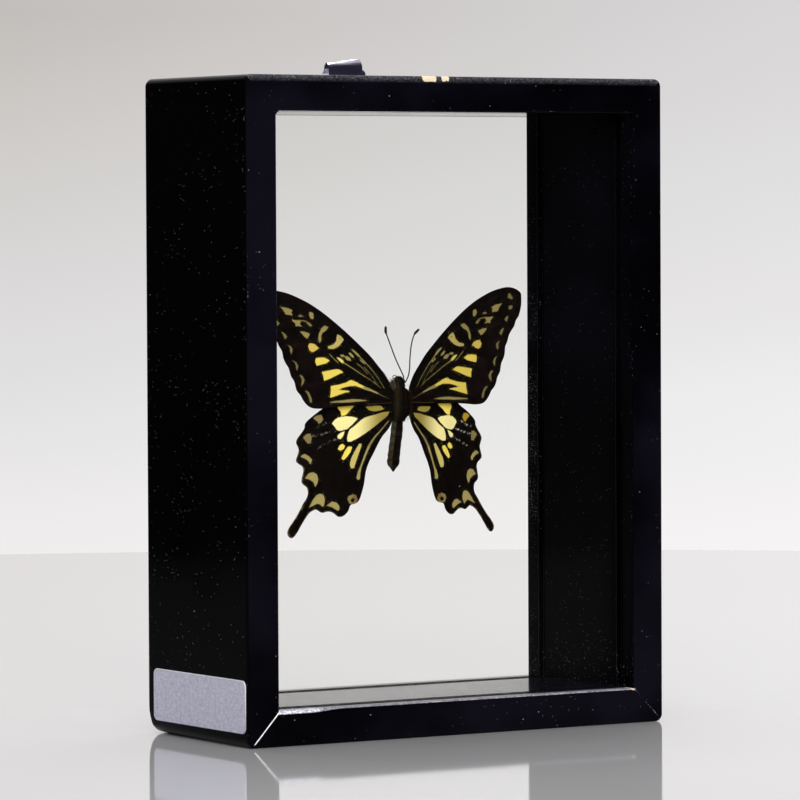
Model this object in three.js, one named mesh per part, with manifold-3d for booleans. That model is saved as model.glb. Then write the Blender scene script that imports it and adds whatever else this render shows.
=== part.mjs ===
// A swallowtail butterfly floating between two glass panes in a deep lacquered frame.
// Millimetres, +Z up, +X to the right, front towards -Y. Origin: centre of the foot of the frame.
import * as THREE from 'three';
import Module from 'manifold-3d';
import { ConvexGeometry } from 'three/addons/geometries/ConvexGeometry.js';
import { TessellateModifier } from 'three/addons/modifiers/TessellateModifier.js';
import { mergeVertices } from 'three/addons/utils/BufferGeometryUtils.js';

// ---- Driving dimensions -------------------------------------------------------------------
const FRAME_WIDTH = 150;
const FRAME_HEIGHT = 200;
const FRAME_DEPTH = 60;
const RAIL = 10.8; // thickness of a rail, outside to inside
const EDGE_RADIUS = 0.6; // long edges of the rails
const CORNER_RADIUS = 2.4; // the frame's four outer corners
const MITRE_GAP = 0.3;
const PANE = 2; // glass thickness
const PANE_MID = 22; // middle of each pane, in front of and behind the middle of the frame
const GROOVE_DEPTH = 3;
const CLEARANCE = 0.3; // between pieces that meet

const LABEL = { length: 55.1, height: 15.9, thickness: 0.3, radius: 2, midY: -1.25, midZ: 12.25 };
const GLUE_LINE = 0.1;

const STRIP = { left: -8.7, right: 3.5, thickness: 0.5, foot: 191.5, turn: 2.4, flare: 0.05 };
const SCREW = { head: 2, headHeight: 1, shank: 0.8, hole: 1.15, length: 7, z: 194.6, spacing: 6.4 };

const SPECIMEN = { x: -0.8, y: 5, z: 101 }; // where the wings' middle plane crosses the body line
const WING_THICKNESS = 0.3;
const WING_FACET = 6; // longest edge inside a wing
const HINDWING_SLIP = 0.3; // the right hindwing sits this much lower than drawn, the left higher
const POST = { radius: 1.25, foot: 3.6, footHeight: 1, v: 1.5, tip: 1.95 };
const LEG_RADIUS = 0.2;
const FEELER_RADIUS = 0.16;
const CLUB_RADIUS = 0.36;

// Wing outlines as (out from the body line, up), for the right-hand wing.
const FOREWING = [
  [2.95, 3.3], [4.9, 7.45], [7.6, 10.9], [10.1, 13.9], [13.2, 16.9], [16.1, 19.55], [19.2, 22.25],
  [22.6, 25], [26.1, 27.6], [29.9, 30], [33.2, 31.65], [36.7, 33.1], [40.2, 34.05], [43.2, 34.45],
  [45.5, 34.1], [47.3, 33.3], [48.15, 32.4], [48.2, 31.1], [48, 28.9], [47.4, 26.9], [46.7, 25.3],
  [45.5, 23.9], [44.8, 22.3], [43.6, 20.9], [42.5, 19.4], [41.75, 17.5], [40.75, 15.8], [40.45, 13.9],
  [39.85, 12.3], [38.9, 10.8], [38.45, 9.3], [38.1, 8], [37.05, 6.4], [36.5, 4.4], [35.8, 3.2],
  [34.8, 2.2], [34.1, 0.9], [32.8, -0.7], [31.4, -1.6], [29.6, -1.95], [27.3, -1.95], [24.9, -1.7],
  [20, -1.35], [14, -1.3], [8, -1.2], [3.6, -0.9], [2.95, 0.5],
];
const HINDWING = [
  [3.1, -2.2], [6, 0.4], [12, 1.9], [18, 1.8], [22, 0.3], [25, -2.1], [27, -3.4], [29, -4.9],
  [30.6, -6.3], [31.2, -7.4], [31.2, -8.1], [32.1, -9.6], [33.3, -11.1], [33.9, -12.4], [33.6, -13.6],
  [33.1, -15], [33.5, -16.6], [33.95, -18.2], [33.4, -19.1], [32.1, -20.05], [31.7, -21.3],
  [32.05, -23], [32.3, -24.6], [31.9, -25.55], [30.7, -26.55], [30.35, -28.1], [30.75, -29.65],
  [32.05, -31.5], [33.4, -33.7], [35, -36], [36.45, -37.75], [37.5, -39.2], [37.8, -40.4],
  [37.4, -41.4], [36.5, -41.9], [35.45, -41.3], [34.3, -39.8], [33, -37.75], [31.5, -35.75],
  [30.2, -34.3], [29, -33.65], [28, -33.4], [26.8, -34.2], [25.9, -34.4], [25, -34.2], [23.75, -34.1],
  [22.4, -34.7], [21.3, -35.6], [20.1, -35.8], [18.9, -35.25], [17.8, -34.1], [17.3, -32.8],
  [16.8, -32.15], [15.6, -31.9], [14.4, -31.3], [13.65, -30.1], [13, -28.2], [12.4, -26],
  [12.1, -24.1], [11.7, -21.8], [10.65, -19], [9.2, -16.25], [7.8, -13.4], [6.45, -11.1],
  [4.8, -9.2], [3.6, -7.1], [3.1, -5.4],
];
// Half thickness of the body (out, up) from the tip of the abdomen to the crown of the head.
const BODY_PROFILE = [
  [0, -22.2], [0.7, -21.8], [1.25, -21], [1.6, -20], [1.82, -18.7], [1.74, -17.6], [1.84, -16.4],
  [1.72, -15.2], [1.8, -14], [1.7, -12.7], [1.78, -11.4], [1.68, -10.1], [1.76, -8.8], [1.6, -7.4],
  [1.5, -6.5], [1.95, -5.9], [2.4, -4.8], [2.65, -3], [2.65, -0.5], [2.45, 1.6], [2.1, 3.2],
  [1.5, 4.3], [1.55, 5.1], [1.75, 5.9], [1.6, 6.7], [1, 7.4], [0, 7.7],
];
const BODY_SIDES = 20;
// Ellipsoids joined to the body: (out, back, up) and their half sizes.
const CHEST = { at: [-0.2, -0.8, 2.3], size: [2.2, 2.4, 3.4] };
const EYE = { at: [1.15, -2.9, 6], size: [0.85, 0.95, 1] };
const PALP = { at: [0.4, -1.6, 7], size: [0.45, 0.8, 0.9] };

// Routes as (out, back, up) from the specimen's middle.
const FEELERS = {
  left: [[-0.45, -5.0, 6.9], [-0.75, -5, 8], [-2.7, -3.8, 13], [-5.04, -2.6, 20.2], [-5.4, -2.5, 21.3]],
  right: [[0.55, -5.0, 6.9], [1.3, -5, 7.9], [2, -4.5, 10], [2.6, -3.8, 13], [3.55, -3.1, 17],
    [4.96, -2.6, 20.2]],
};
const CLUBS = {
  left: [[-5.4, -2.5, 21.1], [-5.3, -2.4, 22.9]],
  right: [[4.9, -2.6, 20.1], [6.8, -2.4, 21.8]],
};
const LEGS = {
  front: [[1.2, 1.85, 3.4], [2.6, 2.7, 4.4], [2.7, 3.4, 1], [2.2, 3.2, -1.8]],
  middle: [[1.65, 0.85, 0],[3.6, 2.9, 0.6], [3.4, 4, -3], [2.4, 3.8, -6]],
  hind: [[1.5, 0.65, -2.6], [2.4, 2.6, -3.6], [1.9, 3.2, -5.6], [1.3, 3, -7.4]],
};
const TONGUE = { back: 1.25, up: 0.75, mid: [-0.2, 0.85, 7.1], radius: 0.12, turns: 1.35 };

// ---- Finishes -----------------------------------------------------------------------------
const finish = (color, roughness, metalness = 0) =>
  new THREE.MeshStandardMaterial({ color, roughness, metalness });
const clear = (color) =>
  new THREE.MeshStandardMaterial({ color, roughness: 0.03, transparent: true, opacity: 0.25 });
const LACQUER = () => finish(0x0b0c10, 0.35);
const GLASS = () => clear(0xdfe8e4);
const FOIL = () => finish(0xb9b7c4, 0.38, 0.9);
const STEEL = () => finish(0xb8b8c0, 0.25, 1);
const WING = () => finish(0x1e1613, 0.75);
const FUR = () => finish(0x17150f, 0.95);
const CHITIN = () => finish(0x0c0a09, 0.5);

// ---- Solids -------------------------------------------------------------------------------
const wasm = await Module();
wasm.setup();

function welded(geometry) {
  geometry.deleteAttribute('normal');
  geometry.deleteAttribute('uv');
  return mergeVertices(geometry, 1e-4);
}

function solid(geometry) {
  const mesh = welded(geometry.clone());
  return new wasm.Manifold(new wasm.Mesh({
    numProp: 3,
    vertProperties: new Float32Array(mesh.attributes.position.array),
    triVerts: new Uint32Array(mesh.index.array),
  }));
}

function geometryOf(manifold) {
  const mesh = manifold.getMesh();
  const geometry = new THREE.BufferGeometry();
  geometry.setAttribute('position', new THREE.BufferAttribute(mesh.vertProperties, 3));
  geometry.setIndex(new THREE.BufferAttribute(mesh.triVerts, 1));
  geometry.computeVertexNormals();
  return geometry;
}

function reshape(geometry, move) {
  const place = geometry.attributes.position;
  const point = new THREE.Vector3();
  for (let i = 0; i < place.count; i += 1) {
    point.fromBufferAttribute(place, i);
    move(point);
    place.setXYZ(i, point.x, point.y, point.z);
  }
  return geometry;
}

function turnInsideOut(geometry) {
  const corners = geometry.index.array;
  for (let i = 0; i < corners.length; i += 3) {
    [corners[i], corners[i + 1]] = [corners[i + 1], corners[i]];
  }
  return geometry;
}

const part = new THREE.Group();

function add(parent, name, geometry, material) {
  const mesh = new THREE.Mesh(geometry, material);
  mesh.name = name;
  parent.add(mesh);
  return mesh;
}

const vectors = (points) => points.map(([x, y, z]) => new THREE.Vector3(x, y, z));

// ---- Frame --------------------------------------------------------------------------------
// Section of a rail as (inwards, back): rounded long edges and a groove for each pane.
function railSection() {
  const shape = new THREE.Shape();
  const face = FRAME_DEPTH / 2;
  const near = EDGE_RADIUS;
  const far = RAIL - EDGE_RADIUS;
  const half = PANE / 2 + CLEARANCE;
  shape.moveTo(near, -face);
  shape.absarc(far, -face + near, near, -Math.PI / 2, 0);
  for (const mid of [-PANE_MID, PANE_MID]) {
    shape.lineTo(RAIL, mid - half);
    shape.lineTo(RAIL - GROOVE_DEPTH, mid - half);
    shape.lineTo(RAIL - GROOVE_DEPTH, mid + half);
    shape.lineTo(RAIL, mid + half);
  }
  shape.absarc(far, face - near, near, 0, Math.PI / 2);
  shape.absarc(near, face - near, near, Math.PI / 2, Math.PI);
  shape.absarc(near, -face + near, near, Math.PI, Math.PI * 1.5);
  return shape;
}

// A rail lying along X with its outer face down, its ends mitred and its outer corners rounded.
function mitredRail(length, across) {
  const rail = new THREE.ExtrudeGeometry(railSection(), { depth: 1, bevelEnabled: false, curveSegments: 3 });
  reshape(rail, (p) => {
    const reach = length / 2 - p.x - MITRE_GAP / Math.SQRT2;
    p.set((1 - 2 * p.z) * reach, p.y, p.x);
  });
  const corners = new THREE.Shape();
  const edge = length / 2 - CORNER_RADIUS;
  corners.absarc(edge, across - CORNER_RADIUS, CORNER_RADIUS, 0, Math.PI / 2);
  corners.absarc(-edge, across - CORNER_RADIUS, CORNER_RADIUS, Math.PI / 2, Math.PI);
  corners.absarc(-edge, CORNER_RADIUS, CORNER_RADIUS, Math.PI, Math.PI * 1.5);
  corners.absarc(edge, CORNER_RADIUS, CORNER_RADIUS, Math.PI * 1.5, Math.PI * 2);
  const depth = FRAME_DEPTH + 2;
  const block = new THREE.ExtrudeGeometry(corners, { depth, bevelEnabled: false, curveSegments: 5 });
  block.rotateX(Math.PI / 2);
  block.translate(0, depth / 2, 0);
  return solid(rail).intersect(solid(block));
}

// Knocks and wear, each a sharp-cornered bite given by its corners.
const BITES = {
  topEdge: [[-12.2, -30.6, 200.5], [-3.8, -30.6, 200.5], [-11.5, -29.1, 200.5], [-4.4, -29.3, 200.5],
    [-10.4, -30.6, 199.35], [-8.2, -30.6, 199.6], [-5.6, -30.6, 199.4]],
  topEdgeTail: [[-3.6, -30.4, 200.4], [-1.2, -30.4, 200.4], [-2.4, -29.6, 200.4], [-2.6, -30.4, 199.7]],
  sillWear: [[-66, -30.6, 11.6], [-66, -27.4, 11.6], [-66, -30.6, 9.2], [-66, -29.2, 9.3],
    [-45, -30.6, 11.6], [-45, -30.4, 10.7], [-52, -30.6, 10.3]],
  innerCorner: [[65.2, -30.6, 10.2], [63.2, -30.6, 10.2], [64, -30.6, 11.6], [64.2, -29.2, 10.9],
    [64.6, -30.6, 9.6]],
  footBackCorner: [[-75.6, 30.6, -0.6], [-75.6, 24.8, -0.6], [-75.6, 30.6, 3.2], [-71.4, 30.6, -0.6]],
  topBackCorner: [[-75.6, 30.6, 200.6], [-75.6, 28, 200.6], [-75.6, 30.6, 198.6], [-73.2, 30.6, 200.6]],
  topFrontCorner: [[-75.6, -30.6, 200.6], [-73.6, -30.6, 200.6], [-75.6, -29.2, 200.6],
    [-75.6, -30.6, 199.2]],
};

function screwSpots() {
  const mid = (STRIP.left + STRIP.right) / 2;
  return [-1, 1].map((side) => mid + (side * SCREW.spacing) / 2);
}

function peg(radius, length, sides = 12) {
  return new THREE.CylinderGeometry(radius, radius, length, sides);
}

const RAILS = [
  { name: 'rail_bottom', length: FRAME_WIDTH, across: FRAME_HEIGHT, turn: 0, x: 0, z: 0,
    bites: ['sillWear', 'innerCorner', 'footBackCorner'] },
  { name: 'rail_top', length: FRAME_WIDTH, across: FRAME_HEIGHT, turn: Math.PI, x: 0, z: FRAME_HEIGHT,
    bites: ['topEdge', 'topEdgeTail', 'topBackCorner', 'topFrontCorner'] },
  { name: 'rail_left', length: FRAME_HEIGHT, across: FRAME_WIDTH, turn: Math.PI / 2,
    x: -FRAME_WIDTH / 2, z: FRAME_HEIGHT / 2, bites: ['topBackCorner', 'footBackCorner', 'topFrontCorner'] },
  { name: 'rail_right', length: FRAME_HEIGHT, across: FRAME_WIDTH, turn: -Math.PI / 2,
    x: FRAME_WIDTH / 2, z: FRAME_HEIGHT / 2, bites: ['innerCorner'] },
];

for (const rail of RAILS) {
  const raw = geometryOf(mitredRail(rail.length, rail.across));
  raw.rotateY(rail.turn);
  raw.translate(rail.x, 0, rail.z);
  let wood = solid(raw);
  for (const bite of rail.bites) {
    wood = wood.subtract(solid(new ConvexGeometry(vectors(BITES[bite]))));
  }
  if (rail.name === 'rail_top') {
    for (const x of screwSpots()) {
      const hole = peg(SCREW.hole, SCREW.length * 2);
      hole.translate(x, FRAME_DEPTH / 2, SCREW.z);
      wood = wood.subtract(solid(hole));
    }
  }
  add(part, rail.name, geometryOf(wood), LACQUER());
}

// ---- Glass --------------------------------------------------------------------------------
for (const [name, mid] of [['glass_front', -PANE_MID], ['glass_back', PANE_MID]]) {
  const lost = 2 * (RAIL - GROOVE_DEPTH + CLEARANCE);
  const pane = add(part, name, new THREE.BoxGeometry(FRAME_WIDTH - lost, PANE, FRAME_HEIGHT - lost), GLASS());
  pane.position.set(0, mid, FRAME_HEIGHT / 2);
}

// ---- Label plate on the left-hand side ----------------------------------------------------
function labelShape() {
  const shape = new THREE.Shape();
  const x = LABEL.length / 2 - LABEL.radius;
  const y = LABEL.height / 2 - LABEL.radius;
  shape.absarc(x, y, LABEL.radius, 0, Math.PI / 2);
  shape.absarc(-x, y, LABEL.radius, Math.PI / 2, Math.PI);
  shape.absarc(-x, -y, LABEL.radius, Math.PI, Math.PI * 1.5);
  shape.absarc(x, -y, LABEL.radius, Math.PI * 1.5, Math.PI * 2);
  return shape;
}
const plate = new THREE.ExtrudeGeometry(labelShape(), {
  depth: LABEL.thickness, bevelEnabled: false, curveSegments: 6,
});
reshape(plate, (p) => p.set(-FRAME_WIDTH / 2 - GLUE_LINE - p.z, LABEL.midY - p.x, LABEL.midZ + p.y));
add(part, 'label_plate', plate, FOIL());

// ---- Hanger strip and its screws, on the back of the top rail ------------------------------
// The strip's bends seen from the side, as (back, up).
function stripLine() {
  const back = FRAME_DEPTH / 2 + GLUE_LINE + STRIP.thickness / 2;
  return [
    [back, STRIP.foot], [back, 204.1], [back + 0.35, 204.9], [back + 1.5, 206], [back + 2.2, 205.8],
    [back + 3.2, 204.5], [back + 4, 202.9], [back + 4.1, 201.8],
  ].map(([y, z]) => new THREE.Vector2(y, z));
}

function ribbon(line, thickness) {
  const sides = line.map((point, i) => {
    const before = line[Math.max(i - 1, 0)];
    const after = line[Math.min(i + 1, line.length - 1)];
    const along = after.clone().sub(before).normalize();
    return new THREE.Vector2(-along.y, along.x).multiplyScalar(thickness / 2);
  });
  const front = line.map((point, i) => point.clone().add(sides[i]));
  const rear = line.map((point, i) => point.clone().sub(sides[i]));
  return new THREE.Shape([...rear, ...front.reverse()]);
}

function hangerStrip() {
  const width = STRIP.right - STRIP.left;
  const mid = (STRIP.left + STRIP.right) / 2;
  const bend = new THREE.ExtrudeGeometry(ribbon(stripLine(), STRIP.thickness), {
    depth: width, bevelEnabled: false,
  });
  reshape(bend, (p) => p.set(STRIP.left + p.z, p.x, p.y));
  reshape(bend, (p) => p.set(p.x, p.y, p.z > 204.5 ? p.z + STRIP.flare * (p.x - STRIP.left) : p.z));
  const ear = new THREE.CylinderGeometry(1.6, 1.6, STRIP.thickness, 16);
  ear.translate(STRIP.right - 0.5, FRAME_DEPTH / 2 + GLUE_LINE + STRIP.thickness / 2, 201.9);
  let strip = solid(bend).add(solid(ear));
  const turned = geometryOf(strip);
  turned.translate(-mid, 0, -SCREW.z);
  turned.rotateY(-THREE.MathUtils.degToRad(STRIP.turn));
  turned.translate(mid, 0, SCREW.z);
  strip = solid(turned);
  for (const x of screwSpots()) {
    const hole = peg(SCREW.hole, 4);
    hole.translate(x, FRAME_DEPTH / 2, SCREW.z);
    strip = strip.subtract(solid(hole));
  }
  return geometryOf(strip);
}
add(part, 'hanger_strip', hangerStrip(), STEEL());

// Screw as a turned profile (radius, along), head on top.
function screwProfile() {
  const { shank, head, headHeight, length } = SCREW;
  return [
    [0, -length], [shank * 0.5, -length + 0.8], [shank, -length + 1.8], [shank, 0], [head, 0],
    [head, headHeight * 0.4], [head * 0.75, headHeight * 0.85], [0, headHeight],
  ].map(([r, y]) => new THREE.Vector2(r, y));
}
screwSpots().forEach((x, i) => {
  const screw = new THREE.LatheGeometry(screwProfile(), 16);
  const name = i === 0 ? 'hanger_screw_left' : 'hanger_screw_right';
  const mesh = add(part, name, welded(screw), STEEL());
  mesh.position.set(x, FRAME_DEPTH / 2 + GLUE_LINE + STRIP.thickness + CLEARANCE, SCREW.z);
});

// ---- Specimen -----------------------------------------------------------------------------
const { smoothstep } = THREE.MathUtils;
const specimen = new THREE.Group();
specimen.position.set(SPECIMEN.x, SPECIMEN.y, SPECIMEN.z);
part.add(specimen);

// How far behind the specimen's middle plane each wing lies.
function forewingSet(u, v) {
  const rearCorner = smoothstep(u, 24, 32) * (1 - smoothstep(v, 0, 8));
  return 0.045 * u + 0.11 * v - 2.9 + 0.9 * rearCorner;
}

function hindwingSet(u, v) {
  const tail = 1 - 0.4 * smoothstep(-v, 26, 41);
  const innerFold = 0.5 * smoothstep(-v, 6, 20) * smoothstep(18 - u, 0, 5);
  const underForewing = 0.8 * smoothstep(v, -4, 0);
  return 0.25 * Math.max(u - 18, 0) * tail + 0.2 * Math.min(u - 18, 0) + innerFold + underForewing;
}

// A thin bent sheet inside the outline. side is 1 for the right-hand wing and -1 for the left.
function wing(outline, set, side, slip = 0) {
  const rim = new THREE.CatmullRomCurve3(outline.map(([u, v]) => new THREE.Vector3(u, v, 0)), true);
  const edge = rim.getPoints(outline.length * 2).slice(0, -1);
  const shape = new THREE.Shape(edge.map((p) => new THREE.Vector2(p.x, p.y)));
  const flat = new THREE.ExtrudeGeometry(shape, { depth: WING_THICKNESS, bevelEnabled: false });
  const fine = new TessellateModifier(WING_FACET, 12).modify(flat);
  const sheet = welded(reshape(fine, (p) => {
    const back = set(p.x, p.y) + p.z - WING_THICKNESS / 2;
    p.set(side * p.x, back, p.y - side * slip);
  }));
  return side > 0 ? turnInsideOut(sheet) : sheet;
}

for (const [name, side] of [['right', 1], ['left', -1]]) {
  add(specimen, `forewing_${name}`, wing(FOREWING, forewingSet, side), WING());
  add(specimen, `hindwing_${name}`, wing(HINDWING, hindwingSet, side, HINDWING_SLIP), WING());
}

// The body line leans back towards the tip of the abdomen.
function bodyLine(v) {
  const waist = 1.7 * smoothstep(-v, 3, 8);
  const droop = 1.8 * smoothstep(-v, 10, 23);
  return { out: -0.7 * smoothstep(-v, 10, 24), back: -2.7 + waist + droop };
}

function ellipsoid({ at, size }, side = 1) {
  const ball = new THREE.SphereGeometry(1, 12, 8);
  ball.scale(...size);
  ball.translate(at[0] * side, at[1], at[2]);
  return solid(ball);
}

function body() {
  const turned = new THREE.LatheGeometry(
    BODY_PROFILE.map(([r, v]) => new THREE.Vector2(r, v)), BODY_SIDES,
  );
  turned.rotateX(Math.PI / 2);
  reshape(turned, (p) => {
    const line = bodyLine(p.z);
    p.set(p.x + line.out, p.y + line.back, p.z);
  });
  const trunk = solid(turned).add(ellipsoid(CHEST));
  const face = [1, -1].reduce((all, side) => all.add(ellipsoid(EYE, side)).add(ellipsoid(PALP, side)), trunk);
  return geometryOf(face);
}
add(specimen, 'body', body(), FUR());

// A round rod along a smooth route.
function rod(route, radius, steps, sides = 6) {
  const section = new THREE.Shape();
  section.absarc(0, 0, radius, 0, Math.PI * 2);
  return new THREE.ExtrudeGeometry(section, {
    steps, bevelEnabled: false, curveSegments: sides / 2, extrudePath: new THREE.CatmullRomCurve3(route),
  });
}

function club([from, to]) {
  const axis = to.clone().sub(from);
  const capsule = new THREE.CapsuleGeometry(CLUB_RADIUS, axis.length() - 2 * CLUB_RADIUS, 3, 8);
  capsule.applyQuaternion(
    new THREE.Quaternion().setFromUnitVectors(new THREE.Vector3(0, 1, 0), axis.normalize()),
  );
  const mid = from.clone().add(to).multiplyScalar(0.5);
  capsule.translate(mid.x, mid.y, mid.z);
  return solid(capsule);
}

for (const side of ['left', 'right']) {
  const shaft = solid(rod(vectors(FEELERS[side]), FEELER_RADIUS, 14));
  add(specimen, `antenna_${side}`, geometryOf(shaft.add(club(vectors(CLUBS[side])))), CHITIN());
}

function tongueRoute() {
  const { back, up, mid, turns } = TONGUE;
  const route = [];
  for (let i = 0; i <= 16; i += 1) {
    const angle = Math.PI + (i / 16) * turns * 2 * Math.PI;
    const shrink = 1 - 0.45 * (i / 16);
    route.push([mid[0] + 0.3 * (i / 16), mid[1] + back * shrink * Math.cos(angle), mid[2] + up * shrink * Math.sin(angle)]);
  }
  return vectors(route);
}
add(specimen, 'proboscis', welded(rod(tongueRoute(), TONGUE.radius, 24)), CHITIN());

for (const [pair, route] of Object.entries(LEGS)) {
  for (const [name, side] of [['right', 1], ['left', -1]]) {
    const mirrored = route.map(([u, back, v]) => [u * side, back, v]);
    add(specimen, `leg_${pair}_${name}`, welded(rod(vectors(mirrored), LEG_RADIUS, 12)), CHITIN());
  }
}

// ---- Clear post that holds the specimen off the back pane ----------------------------------
function postProfile() {
  const reach = PANE_MID - PANE / 2 - CLEARANCE - SPECIMEN.y;
  const { radius, foot, footHeight, tip } = POST;
  return [
    [0, tip], [radius * 0.8, tip], [radius, tip + 0.3], [radius, reach - footHeight - 0.6],
    [radius + 0.6, reach - footHeight], [foot, reach - footHeight], [foot, reach], [0, reach],
  ].map(([r, y]) => new THREE.Vector2(r, y));
}
const post = add(specimen, 'specimen_post', welded(new THREE.LatheGeometry(postProfile(), 24)), GLASS());
post.position.z = POST.v;

export default part;
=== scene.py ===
"""A swallowtail butterfly between two panes of glass in a deep black lacquered frame.

Sizes are in millimetres in the row's frame (+Z up, +X right, front towards -Y) and become metres when a
mesh is made. On the specimen, u runs out from its body line, v runs up, and back is away from the viewer.
"""
import math

import bpy
import bmesh
import numpy as np
from mathutils import Matrix, Vector
from mathutils.geometry import delaunay_2d_cdt


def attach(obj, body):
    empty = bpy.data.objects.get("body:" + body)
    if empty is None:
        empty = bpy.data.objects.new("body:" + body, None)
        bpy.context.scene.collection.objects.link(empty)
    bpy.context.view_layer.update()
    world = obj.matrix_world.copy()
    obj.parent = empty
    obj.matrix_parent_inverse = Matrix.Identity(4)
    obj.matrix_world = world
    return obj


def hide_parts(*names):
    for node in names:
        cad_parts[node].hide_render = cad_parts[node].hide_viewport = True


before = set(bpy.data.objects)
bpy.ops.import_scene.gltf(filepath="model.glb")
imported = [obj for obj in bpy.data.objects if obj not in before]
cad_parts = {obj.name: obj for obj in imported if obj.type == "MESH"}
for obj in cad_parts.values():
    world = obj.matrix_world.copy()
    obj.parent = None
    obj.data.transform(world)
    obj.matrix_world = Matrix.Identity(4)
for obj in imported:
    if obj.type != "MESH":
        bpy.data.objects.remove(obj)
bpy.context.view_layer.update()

MM = 0.001
ROOT = "root"
rng = np.random.default_rng(7)

# ---- Sizes shared with the solids ----------------------------------------------------------
WIDTH, HEIGHT, DEPTH = 150.0, 200.0, 60.0
RAIL = 10.8
CORNER_RADIUS = 2.4
EDGE_RADIUS = 0.6
PANE, PANE_MID, GROOVE_DEPTH, CLEARANCE = 2.0, 22.0, 3.0, 0.3
GLUE_LINE = 0.1
SPECIMEN = np.array([-0.8, 5.0, 101.0])
HINDWING_SLIP = 0.3
MEMBRANE = 0.12  # thickness of a wing

# ---- Camera --------------------------------------------------------------------------------
CAMERA = {
    "look_at": (-2.49, 0.0, 101.19),
    "distance": 1570.0,
    "azimuth": -32.22,
    "elevation": 2.028,
    "roll": -0.26,
    "lens": 229.16,
}


def place_camera():
    """Turns the camera's own Z back along the view, then rolls it."""
    az, el, roll = (math.radians(CAMERA[k]) for k in ("azimuth", "elevation", "roll"))
    back = Vector((math.sin(az) * math.cos(el), -math.cos(az) * math.cos(el), math.sin(el)))
    turn = back.to_track_quat("Z", "Y").to_matrix().to_4x4() @ Matrix.Rotation(roll, 4, "Z")
    spot = (Vector(CAMERA["look_at"]) + back * CAMERA["distance"]) * MM
    camera = bpy.data.objects.new("camera", bpy.data.cameras.new("camera"))
    camera.data.lens = CAMERA["lens"]
    camera.data.sensor_width = 36.0
    camera.data.clip_start = 0.05
    camera.data.clip_end = 50.0
    camera.matrix_world = Matrix.Translation(spot) @ turn
    bpy.context.scene.collection.objects.link(camera)
    bpy.context.scene.camera = camera


# ---- Colours and shader nodes --------------------------------------------------------------
def linear(red, green, blue):
    """Screen colour, 0 to 255, as linear light with full alpha."""
    shares = [value / 255 for value in (red, green, blue)]
    return (*(s / 12.92 if s <= 0.04045 else ((s + 0.055) / 1.055) ** 2.4 for s in shares), 1.0)


class Nodes:
    """Short calls that add nodes to a tree."""

    def __init__(self, tree):
        self.tree = tree

    def put(self, socket, value):
        if isinstance(value, bpy.types.NodeSocket):
            self.tree.links.new(value, socket)
        else:
            socket.default_value = value

    def node(self, kind, inputs=None, **settings):
        made = self.tree.nodes.new(kind)
        for key, value in settings.items():
            setattr(made, key, value)
        for key, value in (inputs or {}).items():
            self.put(made.inputs[key], value)
        return made

    def math(self, operation, first, *others):
        """One operation over all the values, from left to right."""
        for other in others:
            first = self.node("ShaderNodeMath", {0: first, 1: other}, operation=operation).outputs[0]
        return first

    def times(self, *values):
        return self.math("MULTIPLY", *values)

    def plus(self, *values):
        return self.math("ADD", *values)

    def most(self, *values):
        return self.math("MAXIMUM", *values)

    def apart(self, a, b):
        """The difference, never negative."""
        return self.math("ABSOLUTE", self.math("SUBTRACT", a, b), 0.0)

    def axes(self, vector):
        return self.node("ShaderNodeSeparateXYZ", {0: vector}).outputs

    def ramp(self, value, low, high, to_low=0.0, to_high=1.0, kind="SMOOTHSTEP"):
        inputs = {"Value": value, "From Min": low, "From Max": high, "To Min": to_low, "To Max": to_high}
        return self.node("ShaderNodeMapRange", inputs, interpolation_type=kind).outputs[0]

    def mix(self, share, a, b):
        return self.node("ShaderNodeMix", {0: share, 6: a, 7: b}, data_type="RGBA").outputs[2]


class Finish(Nodes):
    """One procedural material. Lengths given to it are in millimetres."""

    def __init__(self, name, **settings):
        self.material = bpy.data.materials.new(name)
        self.material.use_nodes = True
        super().__init__(self.material.node_tree)
        self.surface = self.tree.nodes["Principled BSDF"]
        self.set(**settings)
        self.place = self.node("ShaderNodeTexCoord").outputs["Object"]
        self.place = self.stretched((1 / MM, 1 / MM, 1 / MM))

    def set(self, **settings):
        for key, value in settings.items():
            self.put(self.surface.inputs[key.replace("_", " ")], value)

    def stretched(self, factors):
        made = self.node("ShaderNodeVectorMath", {0: self.place, 1: factors}, operation="MULTIPLY")
        return made.outputs[0]

    def noise(self, size, detail=2.0, where=None, roughness=0.5):
        inputs = {"Vector": where or self.place, "Scale": 1 / size, "Detail": detail, "Roughness": roughness}
        return self.node("ShaderNodeTexNoise", inputs).outputs["Fac"]

    def attribute(self, name, output="Fac"):
        return self.node("ShaderNodeAttribute", attribute_name=name).outputs[output]

    def bump(self, height, distance, strength=1.0, **normal):
        inputs = {"Height": height, "Distance": distance * MM, "Strength": strength, **normal}
        return self.node("ShaderNodeBump", inputs).outputs[0]

    def specks(self, size, share, radius):
        """Round grains: a share of the cells of that size hold one of that radius."""
        cells = self.node("ShaderNodeTexVoronoi", {"Vector": self.place, "Scale": 1 / size}).outputs
        pick = self.math("GREATER_THAN", self.axes(cells["Color"])[0], self.math("SUBTRACT", 1.0, share))
        return self.times(pick, self.ramp(cells["Distance"], radius / size, radius / size * 0.55))


# ---- Meshes --------------------------------------------------------------------------------
def paint(mesh, name, values):
    """An attribute that holds a number or a colour for each point."""
    values = np.asarray(values, np.float32)
    kind, field = ("FLOAT", "value") if values.ndim == 1 else ("FLOAT_COLOR", "color")
    mesh.attributes.new(name, kind, "POINT").data.foreach_set(field, values.ravel())


def outward(mesh):
    """Turns every closed shell of the mesh to face outwards."""
    shell = bmesh.new()
    shell.from_mesh(mesh)
    bmesh.ops.recalc_face_normals(shell, faces=shell.faces)
    shell.to_mesh(mesh)
    shell.free()


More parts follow.
